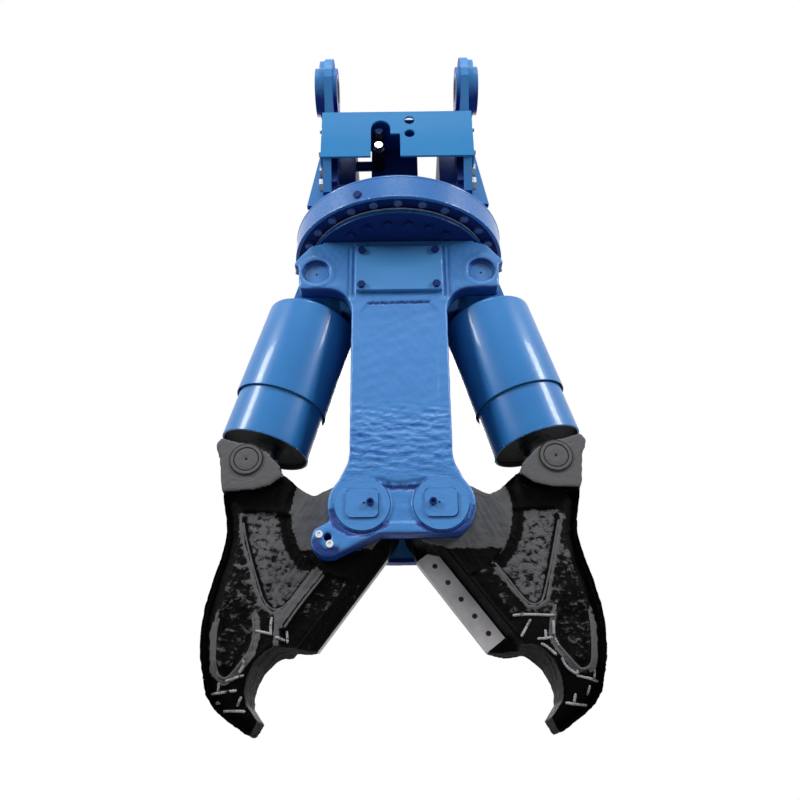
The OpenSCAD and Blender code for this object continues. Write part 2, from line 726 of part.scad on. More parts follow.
// Outer edge from the rod ear's foot down to the tip, as shares of reach and drop
outer_shares = [[0.945, 0.10], [0.90, -0.04], [0.89, -0.13], [0.913, -0.23], [0.95, -0.33], [0.985, -0.45], [0.997, -0.55],
    [0.99, -0.65], [0.968, -0.75], [0.945, -0.83], [0.90, -0.885], [0.83, -0.93], [0.745, -0.97], [0.70, -0.995]];
// Tip and crushing pocket, from the tip's point up to the tooth's underside
pocket_shares = [[0.67, -1.0], [0.625, -0.94], [0.70, -0.87], [0.705, -0.81], [0.69, -0.76], [0.655, -0.705],
    [0.605, -0.665], [0.545, -0.635], [0.35, -0.65]];
taper_share = 0.7;
function jaw_points(shares) = [for (s = shares) [s[0] * jaw_reach, s[1] * jaw_drop]];

// Top edge from the hub out to the rod ear
top_shares = [[0.72, 0.12], [0.62, 0.16], [0.53, 0.19], [0.45, 0.135], [0.385, 0.098], [0.33, 0.08]];

function jaw_outline() = concat(
    jaw_points(outer_shares), jaw_points(pocket_shares),
    [on_edge(edge_end, 0), on_edge(edge_start, 0)],
    arc(0, 0, hub_r, 215, 65, 16), reversed(jaw_points(top_shares)));

function jaw_cut_back() = [on_edge(edge_end * 1.4, blade_w + slack * 2), on_edge(-edge_end, blade_w + slack * 2),
    on_edge(-edge_end, -hub_r), on_edge(edge_end * 1.4, -hub_r)];

// Rod ear outline, round the rod pin
ear_half_t = 115;
ear_slot = 62;
ear_len = 62;
ear_shares = [[-1.37, -0.68], [-1.29, -0.27], [-0.72, 0.34], [0, 0.66], [0.47, 0.78], [1.03, 0.95], [1.24, 0.66],
    [1.16, 0.39], [1.03, 0.1], [0.9, -0.9], [0.81, -1.26], [-0.27, -1.22], [-0.92, -1.05]];

function rod_ear_outline() = [for (s = ear_shares) [rod_pin_x + s[0] * ear_len, rod_pin_z + s[1] * ear_len]];

module jaw() {
    color(cast_black) difference() {
        union() {
            // Back half with the whole outline, front half cut back behind the blade
            slab(blade_gap, jaw_half_t) polygon(jaw_outline());
            slab(-jaw_half_t, blade_gap) difference() {
                polygon(jaw_outline());
                difference() {
                    polygon(jaw_cut_back());
                    circle(r = hub_r + fit);
                }
            }
            for (y = [-ear_half_t, ear_slot]) slab(y, y + ear_half_t - ear_slot) polygon(rod_ear_outline());
            disc_y(cyl_pin_r * 1.3, -ear_half_t - slack, ear_half_t + slack, rod_pin_x, rod_pin_z);
        }
        // Seat of the blade
        slab(blade_gap - over, blade_gap + blade_t) polygon([on_edge(edge_end, -over), on_edge(edge_end, blade_w),
            on_edge(edge_start, blade_w), on_edge(edge_start, -over)]);
        // Relief behind the blade
        translate([edge_offset * edge_in[0], 0, edge_offset * edge_in[1]]) rotate([0, 180 - edge_lean, 0])
            linear_extrude(edge_end * 1.2) polygon([[over, blade_t + slack * 3], [over, jaw_half_t + over],
                [-relief_w, jaw_half_t + over]]);
        // Room for the rod's eye between the ears
        disc_y(eye_r + eye_play + slack * 3, -ear_slot, ear_slot, rod_pin_x, rod_pin_z);
        // Bores
        disc_y(jaw_bush_r, -jaw_half_t - over, jaw_half_t + over, 0, 0);
        disc_y(cyl_pin_r + fit, -ear_half_t - over, ear_half_t + over, rod_pin_x, rod_pin_z);
        // The tip narrows from the pocket down
        for (side = [-1, 1]) scale([1, side, 1]) side_slab(0, jaw_reach * 1.1) polygon([
            [jaw_half_t, -taper_share * jaw_drop], [tip_half_t, -jaw_drop], [tip_half_t, -jaw_drop * 1.1],
            [jaw_half_t + over, -jaw_drop * 1.1], [jaw_half_t + over, -taper_share * jaw_drop]]);
        for (i = [0 : blade_bolt_n - 1]) let (p = on_edge(edge_start + blade_hole_0 + i * blade_hole_pitch, blade_w * 0.55))
            disc_y(blade_bolt_d / 2, -over, blade_t + blade_bolt_d * 1.5, p[0], p[1]);
    }
}

relief_w = 34;
blade_gap = 0.5;
jaw_bush_r = main_pin_r + 14;
eye_play = 9.5;
eye_r = 54;
blade_bolt_n = 5;
blade_hole_0 = 33;
blade_hole_pitch = 47.8;
blade_bolt_d = 12;

module at_pivot() { translate([pivot_x, 0, -pivot_drop]) children(); }

module jaw_right() { from_slew() at_pivot() jaw(); }
module jaw_left() { from_slew() half_turn() at_pivot() jaw(); }

module jaw_bush() {
    color(bronze) difference() {
        disc_y(jaw_bush_r, -jaw_half_t, jaw_half_t, 0, 0);
        disc_y(main_pin_r + fit, -jaw_half_t - over, jaw_half_t + over, 0, 0);
    }
}

module jaw_bush_right() { from_slew() at_pivot() jaw_bush(); }
module jaw_bush_left() { from_slew() half_turn() at_pivot() jaw_bush(); }

module blade() {
    color(bright) difference() {
        slab(blade_gap, blade_gap + blade_t) polygon([on_edge(edge_end, 0), on_edge(edge_end, blade_w),
            on_edge(edge_start, blade_w), on_edge(edge_start, 0)]);
        for (i = [0 : blade_bolt_n - 1]) let (p = on_edge(edge_start + blade_hole_0 + i * blade_hole_pitch, blade_w * 0.55))
            disc_y(blade_bolt_d / 2 + gap, -over, blade_t + over, p[0], p[1]);
    }
}

module blade_right() { from_slew() at_pivot() blade(); }
module blade_left() { from_slew() half_turn() at_pivot() blade(); }

module blade_bolts() {
    color(steel) for (i = [0 : blade_bolt_n - 1]) let (p = on_edge(edge_start + blade_hole_0 + i * blade_hole_pitch, blade_w * 0.55))
        disc_y(blade_bolt_d / 2, blade_gap + slack, blade_t + blade_bolt_d * 1.5, p[0], p[1]);
}

module blade_bolts_right() { from_slew() at_pivot() blade_bolts(); }
module blade_bolts_left() { from_slew() half_turn() at_pivot() blade_bolts(); }

module rod_pin() {
    color(cast_black) disc_y(cyl_pin_r, -ear_half_t, ear_half_t, rod_pin_x, rod_pin_z);
}

module rod_pin_right() { from_slew() at_pivot() rod_pin(); }
module rod_pin_left() { from_slew() half_turn() at_pivot() rod_pin(); }

// Cylinders, drawn for the right one from its ear pin down the line to the rod pin
module at_cylinder() { translate([ear_x, 0, -ear_drop]) rotate([0, -cyl_tilt, 0]) children(); }

barrel_eye_r = 50;
barrel_eye_half = cheek_in - slack;
barrel_head = 62;
barrel_end = cyl_len - mouth_gap - 27;
gland_t = 40;
lower_guard_show = 124;
upper_guard_top = cyl_len - mouth_gap - lower_guard_show - upper_guard_len;
guard_ring_t = 10;
lower_guard_r = guard_r - guard_wall - slack;

module barrel() {
    color(enamel) difference() {
        union() {
            disc_z(barrel_r, -barrel_end, -barrel_head);
            disc_y(barrel_eye_r, -barrel_eye_half, barrel_eye_half, 0, 0);
            translate([-barrel_eye_r, -barrel_eye_half * 0.8, -barrel_head - over]) cube([barrel_eye_r * 2, barrel_eye_half * 1.6, barrel_head + over]);
        }
        disc_z(bore_r + fit, -barrel_end - over, -barrel_head - web_t);
        disc_y(cyl_pin_r + fit, -barrel_eye_half - over, barrel_eye_half + over, 0, 0);
    }
}

module barrel_right() { from_slew() at_cylinder() barrel(); }
module barrel_left() { from_slew() half_turn() at_cylinder() barrel(); }

module gland() {
    color(steel) difference() {
        disc_z(bore_r, -barrel_end, -barrel_end + gland_t);
        disc_z(rod_r + fit, -barrel_end - over, -barrel_end + gland_t + over);
    }
}

module gland_right() { from_slew() at_cylinder() gland(); }
module gland_left() { from_slew() half_turn() at_cylinder() gland(); }

module upper_guard() {
    color(enamel) difference() {
        disc_z(guard_r, -upper_guard_top - upper_guard_len, -upper_guard_top);
        disc_z(guard_r - guard_wall, -upper_guard_top - upper_guard_len - over, -upper_guard_top - guard_ring_t);
        disc_z(barrel_r, -upper_guard_top - guard_ring_t - over, -upper_guard_top + over);
    }
}

module upper_guard_right() { from_slew() at_cylinder() upper_guard(); }
module upper_guard_left() { from_slew() half_turn() at_cylinder() upper_guard(); }

piston_top = barrel_head + web_t + slack * 2;

module rod() {
    color(bright) difference() {
        union() {
            disc_z(rod_r, -cyl_len, -piston_top - piston_len);
            disc_z(rod_r / 2, -piston_top - piston_len, -piston_top);
            disc_y(eye_r, -ear_slot + slack, ear_slot - slack, 0, -cyl_len);
        }
        disc_y(cyl_pin_r + eye_play, -ear_slot, ear_slot, 0, -cyl_len);
    }
}

module rod_right() { from_slew() at_cylinder() rod(); }
module rod_left() { from_slew() half_turn() at_cylinder() rod(); }

module piston() {
    color(steel) difference() {
        disc_z(bore_r, -piston_top - piston_len, -piston_top);
        disc_z(rod_r / 2, -piston_top - piston_len - over, -piston_top + over);
    }
}

module piston_right() { from_slew() at_cylinder() piston(); }
module piston_left() { from_slew() half_turn() at_cylinder() piston(); }

lower_ring_z = cyl_len - mouth_gap - guard_ring_t * 2;

module lower_guard() {
    color(enamel) {
        difference() {
            disc_z(lower_guard_r, -cyl_len + mouth_gap, -cyl_len + mouth_gap + lower_guard_len);
            disc_z(lower_guard_r - guard_wall, -cyl_len + mouth_gap - over, -cyl_len + mouth_gap + lower_guard_len + over);
        }
        difference() {
            disc_z(lower_guard_r - guard_wall / 2, -lower_ring_z - guard_ring_t, -lower_ring_z);
            disc_z(rod_r, -lower_ring_z - guard_ring_t - over, -lower_ring_z + over);
        }
    }
}

module lower_guard_right() { from_slew() at_cylinder() lower_guard(); }
module lower_guard_left() { from_slew() half_turn() at_cylinder() lower_guard(); }

bracket_plate_left();
bracket_plate_right();
pin_bushes();
deck_plate();
column_left();
column_right();
bracket_bolts();
deck_bolts();
hose_guard();
hose_guard_bolts();
manifold_block();
port_fittings();
fitting_caps();
drain_pipe();
slew_motor();
pinion();
drum();
drum_plugs();
outer_race();
drum_bolts();
inner_race();
bearing_balls();
race_bolts();
swivel_core();
frame();
front_cover();
rear_cover();
cover_bolts();
main_pin_left();
main_pin_right();
pin_caps();
cap_bolts();
ear_pin_left();
ear_pin_right();
guide_pads();
guide_bolts();
jaw_left();
jaw_bush_left();
blade_left();
blade_bolts_left();
rod_pin_left();
jaw_right();
jaw_bush_right();
blade_right();
blade_bolts_right();
rod_pin_right();
barrel_left();
gland_left();
upper_guard_left();
rod_left();
piston_left();
lower_guard_left();
barrel_right();
gland_right();
upper_guard_right();
rod_right();
piston_right();
lower_guard_right();
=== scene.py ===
import math

import bmesh
import bpy
import numpy as np
from mathutils import Euler, Matrix, Vector


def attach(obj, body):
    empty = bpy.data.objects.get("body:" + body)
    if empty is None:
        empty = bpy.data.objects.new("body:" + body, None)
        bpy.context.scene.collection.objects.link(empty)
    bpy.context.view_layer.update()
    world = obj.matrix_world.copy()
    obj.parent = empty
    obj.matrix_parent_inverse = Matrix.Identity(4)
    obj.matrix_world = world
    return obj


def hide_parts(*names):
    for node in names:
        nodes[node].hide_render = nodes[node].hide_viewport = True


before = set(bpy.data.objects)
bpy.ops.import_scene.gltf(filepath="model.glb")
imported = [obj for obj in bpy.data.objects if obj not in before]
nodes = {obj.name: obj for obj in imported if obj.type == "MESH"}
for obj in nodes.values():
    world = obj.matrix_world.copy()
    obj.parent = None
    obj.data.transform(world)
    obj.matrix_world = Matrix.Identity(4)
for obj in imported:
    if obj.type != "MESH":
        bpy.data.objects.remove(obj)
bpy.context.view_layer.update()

# Shapes below are in millimetres from the slewing axis, at the height of the drum's lower edge.
# place() moves them to the frame, whose origin is the front bracket pin.
pinOffset = np.array([0.0, 220.0, -440.0])
halfTurn = np.array([-1.0, -1.0, 1.0])


def place(points):
    return (np.asarray(points, float) + pinOffset) / 1000


def gridFaces(rows, columns, closeRows):
    # four-sided faces between neighbouring points of a grid whose rows are rings; closeRows joins the last
    # row to the first
    r, c = np.meshgrid(np.arange(rows if closeRows else rows - 1), np.arange(columns), indexing="ij")
    r1, c1 = (r + 1) % rows, (c + 1) % columns
    faces = np.stack([r * columns + c, r1 * columns + c, r1 * columns + c1, r * columns + c1], -1)
    return faces.reshape(-1, 4)


def joined(parts):
    # several (points, faces) pairs as one pair
    points, faces, start = [], [], 0
    for p, f in parts:
        points.append(p)
        faces.append(f + start)
        start += len(p)
    return np.concatenate(points), np.concatenate(faces)


def addObject(name, data):
    made = bpy.data.objects.new(name, data)
    bpy.context.scene.collection.objects.link(made)
    return made


def makePiece(name, surface, material, body, slot, hides=(), weld=0.01, sharp=40, values=None, second=None):
    # weld is in millimetres; it closes seams and poles before the normals are turned outwards. values are
    # given point by point under their names, and second is another finish and the faces that take it.
    points, faces = surface
    mesh = bpy.data.meshes.new(name)
    mesh.from_pydata(place(points).tolist(), [], faces.tolist())
    if second:
        mesh.polygons.foreach_set("material_index", np.asarray(second[1], np.int32))
    for key, array in (values or {}).items():
        mesh.attributes.new(key, "FLOAT", "POINT").data.foreach_set("value", np.asarray(array, np.float32))
    bm = bmesh.new()
    bm.from_mesh(mesh)
    if weld:
        bmesh.ops.remove_doubles(bm, verts=bm.verts, dist=weld / 1000)
        bmesh.ops.dissolve_degenerate(bm, edges=bm.edges, dist=weld / 2000)
        bmesh.ops.recalc_face_normals(bm, faces=bm.faces)
    bm.to_mesh(mesh)
    bm.free()
    mesh.shade_smooth()
    mesh.set_sharp_from_angle(angle=math.radians(sharp))
    mesh.materials.append(material)
    if second:
        mesh.materials.append(second[0])
    piece = addObject(name, mesh)
    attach(piece, body)
    if hides:
        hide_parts(*hides)


def turned(profile, centre, along, segments):
    # every profile point (radius, height) goes once round the line through centre along the given direction
    profile = np.asarray(profile, float)
    along = np.asarray(along, float) / np.linalg.norm(along)
    side = np.cross(along, [0, 1, 0] if abs(along[1]) < 0.9 else [1, 0, 0])
    side /= np.linalg.norm(side)
    turn = np.linspace(0, 2 * np.pi, segments, endpoint=False)
    ring = np.cos(turn)[:, None] * side + np.sin(turn)[:, None] * np.cross(along, side)
    points = np.asarray(centre, float) + profile[:, 1, None, None] * along + profile[:, 0, None, None] * ring
    return points.reshape(-1, 3), gridFaces(len(profile), segments, True)


def softProfile(corners, radius, steps):
    # a closed corner list with every corner cut by a quadratic curve that starts and ends radius away from
    # it, or just short of the middle of an edge that has no room for that
    corners = np.asarray(corners, float)
    before, after = np.roll(corners, 1, 0), np.roll(corners, -1, 0)
    gapBefore, gapAfter = np.linalg.norm(before - corners, axis=1), np.linalg.norm(after - corners, axis=1)
    reach = np.minimum(np.broadcast_to(radius, gapBefore.shape), np.minimum(gapBefore, gapAfter) * 0.48)
    first = corners + (before - corners) / gapBefore[:, None] * reach[:, None]
    last = corners + (after - corners) / gapAfter[:, None] * reach[:, None]
    t = np.linspace(0, 1, steps)[None, :, None]
    curve = (1 - t) ** 2 * first[:, None] + 2 * t * (1 - t) * corners[:, None] + t ** 2 * last[:, None]
    return curve.reshape(-1, corners.shape[1])


def evenly(path, gap, rounds=2):
    # corner cutting, then points one gap apart along the path
    path = np.asarray(path, float)
    for _ in range(rounds if len(path) > 2 else 0):
        inner = np.stack([path[:-1] * 0.75 + path[1:] * 0.25, path[:-1] * 0.25 + path[1:] * 0.75], 1)
        path = np.concatenate([path[:1], inner.reshape(-1, path.shape[1]), path[-1:]])
    length = np.concatenate([[0], np.cumsum(np.linalg.norm(np.diff(path, axis=0), axis=1))])
    wanted = np.linspace(0, length[-1], max(int(length[-1] / gap), 3) + 1)
    return np.stack([np.interp(wanted, length, path[:, k]) for k in range(path.shape[1])], 1)


def carried(path, up, width, height, sink, ripple=0.0, pitch=5.0):
    # a half-round profile carried along a path: it rises to height over the path, is width wide at its foot
    # and goes down to sink under it. It shrinks to nothing at both ends, and swells by ripple once per pitch,
    # as a weld bead does.
    path = np.asarray(path, float)
    up = np.broadcast_to(np.asarray(up, float), path.shape)
    ahead = np.gradient(path, axis=0)
    ahead /= np.linalg.norm(ahead, axis=1)[:, None]
    side = np.cross(ahead, up)
    side /= np.linalg.norm(side, axis=1)[:, None]
    length = np.concatenate([[0], np.cumsum(np.linalg.norm(np.diff(path, axis=0), axis=1))])
    ends = np.clip(np.minimum(length, length[-1] - length) / (width * 0.6), 0, 1)
    size = np.sqrt(1 - (1 - ends) ** 2) * (1 + ripple * np.sin(length / pitch * 2 * np.pi))
    around = 9
    turn = np.linspace(0, 2 * np.pi, around, endpoint=False)
    out, rise = np.cos(turn) * width / 2, np.sin(turn) * np.where(np.sin(turn) > 0, height, sink)
    points = (path[:, None] + out[None, :, None] * side[:, None] * size[:, None, None]
              + rise[None, :, None] * up[:, None] * size[:, None, None])
    return points.reshape(-1, 3), gridFaces(len(path), around, False)


def edgeDistance(x, z, outline):
    # distance to a closed outline, negative inside it, for whole arrays at once
    outline = np.asarray(outline, float)
    best = np.full(x.shape, 1e9)
    inside = np.zeros(x.shape, bool)
    for a, b in zip(outline, np.roll(outline, -1, 0)):
        d = b - a
        t = np.clip(((x - a[0]) * d[0] + (z - a[1]) * d[1]) / max(d @ d, 1e-9), 0, 1)
        best = np.minimum(best, np.hypot(x - a[0] - t * d[0], z - a[1] - t * d[1]))
        crosses = (a[1] > z) != (b[1] > z)
        inside ^= crosses & (x < a[0] + (z - a[1]) / (d[1] if d[1] else 1e-9) * d[0])
    return np.where(inside, -best, best)


def step(value, low, high):
    t = np.clip((value - low) / (high - low), 0, 1)
    return t * t * (3 - 2 * t)


def waves(points, size, seed, count=9):
    # sine waves in fixed random directions, wavelengths about size, summed and brought to about one
    rng = np.random.default_rng(seed)
    way = rng.normal(size=(count, 3))
    way *= (2 * np.pi / size * rng.uniform(0.6, 1.5, count) / np.linalg.norm(way, axis=1))[:, None]
    return np.sin(points @ way.T + rng.uniform(0, 6.28, count)).sum(1) / math.sqrt(count)


def colour(code):
    # sRGB hex to linear
    value = np.array([int(code[i:i + 2], 16) for i in (1, 3, 5)]) / 255
    return tuple(np.where(value <= 0.04045, value / 12.92, ((value + 0.055) / 1.055) ** 2.4)) + (1.0,)


def addNode(tree, kind, settings=None, **inputs):
    # inputs are sockets by name (spaces written as _), each a value or another node's output
    node = tree.nodes.new("ShaderNode" + kind)
    for key, value in (settings or {}).items():
        setattr(node, key, value)
    for key, value in inputs.items():
        socket = node.inputs[int(key[1:])] if key[1:].isdigit() else node.inputs[key.replace("_", " ")]
        if isinstance(value, bpy.types.NodeSocket):
            tree.links.new(value, socket)
        else:
            socket.default_value = value
    return node


def startMaterial(name):
    material = bpy.data.materials.new(name)
    material.use_nodes = True
    tree = material.node_tree
    tree.nodes.clear()
    here = addNode(tree, "TexCoord").outputs["Object"]
    return material, tree, here


def endMaterial(tree, shader):
    addNode(tree, "OutputMaterial", Surface=shader.outputs[0])


def perMetre(millimetres):
    # a noise's scale from the size of its grain
    return 1000 / millimetres


def chipped(tree, here, base, grain, detail, chance, most, code):
    # the base colour with chips down to the steel, where the piece's own "wear" is high
    mask = addNode(tree, "Attribute", {"attribute_name": "wear"})
    chips = addNode(tree, "TexNoise", Vector=here, Scale=perMetre(grain), Detail=detail, Roughness=0.7)
    bare = addNode(tree, "Math", {"operation": "MULTIPLY_ADD"}, i0=mask.outputs["Fac"], i1=chance,
                   i2=chips.outputs["Fac"])
    bare = addNode(tree, "MapRange", Value=bare.outputs[0], From_Min=0.86, From_Max=0.9, To_Max=most)
    return addNode(tree, "Mix", {"data_type": "RGBA"}, Factor=bare.outputs[0], i6=base,
                   i7=colour(code)).outputs[2]


# Acrylic enamel, sprayed over primed steel and left glossy: deep colour, a slight orange peel and a clear
# reflection. Orange peel is about 2 mm; it is drawn at 5 mm so that it shows. Where "wear" is near one, bare
# steel shows through in chips.
def sprayedEnamel(name, code, deep, roughness, peel=0.12, worn=0.0, coat=0.6, specular=0.3, edge=None):
    material, tree, here = startMaterial(name)
    cloud = addNode(tree, "TexNoise", Vector=here, Scale=perMetre(160), Detail=3.0, Roughness=0.5)
    share = addNode(tree, "MapRange", Value=cloud.outputs["Fac"], From_Min=0.35, From_Max=0.7, To_Max=0.35)
    base = addNode(tree, "Mix", {"data_type": "RGBA"}, Factor=share.outputs[0], i6=colour(code),
                   i7=colour(deep)).outputs[2]
    if edge:
        # faces that look front or back take a lighter blue as a painted highlight; the rest keeps the darker
        # base, painted shade for the sides
        facing = addNode(tree, "SeparateXYZ", Vector=addNode(tree, "TexCoord").outputs["Normal"])
        facing = addNode(tree, "Math", {"operation": "ABSOLUTE"}, i0=facing.outputs["Y"])
        paintedHighlightShare = addNode(tree, "MapRange", Value=facing.outputs[0], From_Min=0.5, From_Max=0.8)
        base = addNode(tree, "Mix", {"data_type": "RGBA"}, Factor=paintedHighlightShare.outputs[0], i6=base,
                       i7=colour(edge)).outputs[2]
    dustAndPaintedShade = addNode(tree, "TexNoise", Vector=here, Scale=perMetre(14), Detail=6.0, Roughness=0.65)
    rough = addNode(tree, "MapRange", Value=dustAndPaintedShade.outputs["Fac"], From_Min=0.3, From_Max=0.75,
                    To_Min=roughness, To_Max=roughness + 0.16)
    if worn:
        base = chipped(tree, here, base, 9, 5.0, 0.42 * worn, 1.0, "#C9D6E6")
    skin = addNode(tree, "TexNoise", Vector=here, Scale=perMetre(5), Detail=2.0)
    bump = addNode(tree, "Bump", Height=skin.outputs["Fac"], Strength=peel, Distance=0.0006)
    shader = addNode(tree, "BsdfPrincipled", Base_Color=base, Roughness=rough.outputs[0], IOR=1.5,
                     Specular_IOR_Level=specular, Coat_Weight=coat, Coat_Roughness=0.06, Coat_IOR=1.5,
                     Normal=bump.outputs[0], Coat_Normal=bump.outputs[0])
    endMaterial(tree, shader)
    return material


# The same enamel over sand-cast steel: the casting's skin shows through as soft lumps, and as combed flow
# marks low on the frame. Sand grain is under 1 mm; it is drawn at 4 mm so that it shows. The piece's
# painted-shade values turn the colour dark blue as painted shade, and it is chipped where "wear" is.
def castEnamel(name, code, deep):
    material, tree, here = startMaterial(name)
    flat = addNode(tree, "Mapping", Vector=here, Scale=(0.35, 0.6, 1.0))
    combed = addNode(tree, "TexNoise", Vector=flat.outputs[0], Scale=perMetre(15), Detail=4.0,
                     Roughness=0.6, Distortion=0.6)
    height = addNode(tree, "SeparateXYZ", Vector=here).outputs["Z"]
    low = addNode(tree, "MapRange", {"interpolation_type": "SMOOTHSTEP"}, Value=height, From_Min=-0.93,
                  From_Max=-1.0, To_Min=0.05)
    lower = addNode(tree, "MapRange", {"interpolation_type": "SMOOTHSTEP"}, Value=height, From_Min=-1.08,
                    From_Max=-1.16, To_Min=1.0, To_Max=0.35)
    band = addNode(tree, "Math", {"operation": "MULTIPLY"}, i0=low.outputs[0], i1=lower.outputs[0])
    rolled = addNode(tree, "Math", {"operation": "MULTIPLY"}, i0=combed.outputs["Fac"], i1=band.outputs[0])
    lumps = addNode(tree, "TexNoise", Vector=here, Scale=perMetre(22), Detail=3.0, Roughness=0.5)
    grain = addNode(tree, "TexNoise", Vector=here, Scale=perMetre(4), Detail=4.0, Roughness=0.6)
    first = addNode(tree, "Bump", Height=rolled.outputs[0], Strength=0.6, Distance=0.006)
    second = addNode(tree, "Bump", Height=lumps.outputs["Fac"], Strength=0.35, Distance=0.003,
                     Normal=first.outputs[0])
    third = addNode(tree, "Bump", Height=grain.outputs["Fac"], Strength=0.25, Distance=0.0008,
                    Normal=second.outputs[0])
    marks = addNode(tree, "MapRange", Value=rolled.outputs[0], From_Min=0.54, From_Max=0.62, To_Max=0.6)
    base = addNode(tree, "Mix", {"data_type": "RGBA"}, Factor=marks.outputs[0], i6=colour(code),
                   i7=colour(deep)).outputs[2]
    # painted shade: the colour goes dark blue where the piece's shade values are high
    paintedShade = addNode(tree, "Attribute", {"attribute_name": "paintedShade"})
    dustAndPaintedShade = addNode(tree, "MapRange", Value=paintedShade.outputs["Fac"], To_Max=0.93)
    base = addNode(tree, "Mix", {"data_type": "RGBA"}, Factor=dustAndPaintedShade.outputs[0], i6=base,
                   i7=colour("#0C2E80")).outputs[2]
    base = chipped(tree, here, base, 7, 6.0, 0.4, 0.9, "#B4CBEA")
    shader = addNode(tree, "BsdfPrincipled", Base_Color=base, Roughness=0.42, IOR=1.5,
                     Specular_IOR_Level=0.35, Coat_Weight=0.15, Coat_Roughness=0.14,
                     Normal=third.outputs[0], Coat_Normal=third.outputs[0])
    endMaterial(tree, shader)
    return material


# Black paint over a rough steel casting. The high skin is grey, partly rubbed and partly a painted sheen for
# the light on flat faces, and the pits stay black; the piece's own "tone" says where it is grey, and its low
# values also lay painted shade. Grain and pits are 9 and 13 mm.
def blackCasting(name, rubbedAndSheenCode="#646466"):
    material, tree, here = startMaterial(name)
    tone = addNode(tree, "Attribute", {"attribute_name": "tone"}).outputs["Fac"]
    grain = addNode(tree, "TexNoise", Vector=here, Scale=perMetre(9), Detail=6.0, Roughness=0.7)
    flow = addNode(tree, "Mapping", Vector=here, Scale=(0.7, 1.0, 1.0), Rotation=(0.0, 0.5, 0.0))
    pits = addNode(tree, "TexNoise", Vector=flow.outputs[0], Scale=perMetre(13), Detail=7.0,
                   Roughness=0.68, Distortion=0.5)
    high = addNode(tree, "Math", {"operation": "MULTIPLY_ADD"}, i0=tone, i1=0.62, i2=pits.outputs["Fac"])
    rubbedAndSheen = addNode(tree, "MapRange", {"interpolation_type": "SMOOTHSTEP"}, Value=high.outputs[0],
                     From_Min=0.78, From_Max=0.94)
    base = addNode(tree, "Mix", {"data_type": "RGBA"}, Factor=rubbedAndSheen.outputs[0], i6=colour("#040405"),
                   i7=colour(rubbedAndSheenCode)).outputs[2]
    first = addNode(tree, "Bump", Height=pits.outputs["Fac"], Strength=0.7, Distance=0.004)
    second = addNode(tree, "Bump", Height=grain.outputs["Fac"], Strength=0.45, Distance=0.0015,
                     Normal=first.outputs[0])
    shader = addNode(tree, "BsdfPrincipled", Base_Color=base, Roughness=0.5, IOR=1.45,
                     Specular_IOR_Level=0.05, Normal=second.outputs[0])
    endMaterial(tree, shader)
    return material


# Bare steel finished by a tool: lines run along the given direction, and a thin film of oil dulls patches.
def toolSteel(name, code, deep, roughness, lines=(1.0, 12.0, 12.0), pitch=9, metallic=1.0):
    material, tree, here = startMaterial(name)
    along = addNode(tree, "Mapping", Vector=here, Scale=lines)
    cuts = addNode(tree, "TexNoise", Vector=along.outputs[0], Scale=perMetre(pitch), Detail=4.0,
                   Roughness=0.6)
    stain = addNode(tree, "TexNoise", Vector=here, Scale=perMetre(40), Detail=4.0, Roughness=0.6)
    share = addNode(tree, "MapRange", Value=stain.outputs["Fac"], From_Min=0.4, From_Max=0.72, To_Max=0.7)
    base = addNode(tree, "Mix", {"data_type": "RGBA"}, Factor=share.outputs[0], i6=colour(code),
                   i7=colour(deep)).outputs[2]
    rough = addNode(tree, "MapRange", Value=cuts.outputs["Fac"], From_Min=0.3, From_Max=0.7,
                    To_Min=roughness, To_Max=roughness + 0.14)
    bump = addNode(tree, "Bump", Height=cuts.outputs["Fac"], Strength=0.12, Distance=0.0005)
    shader = addNode(tree, "BsdfPrincipled", Base_Color=base, Metallic=metallic,
                     Roughness=rough.outputs[0], Normal=bump.outputs[0])
    endMaterial(tree, shader)
    return material


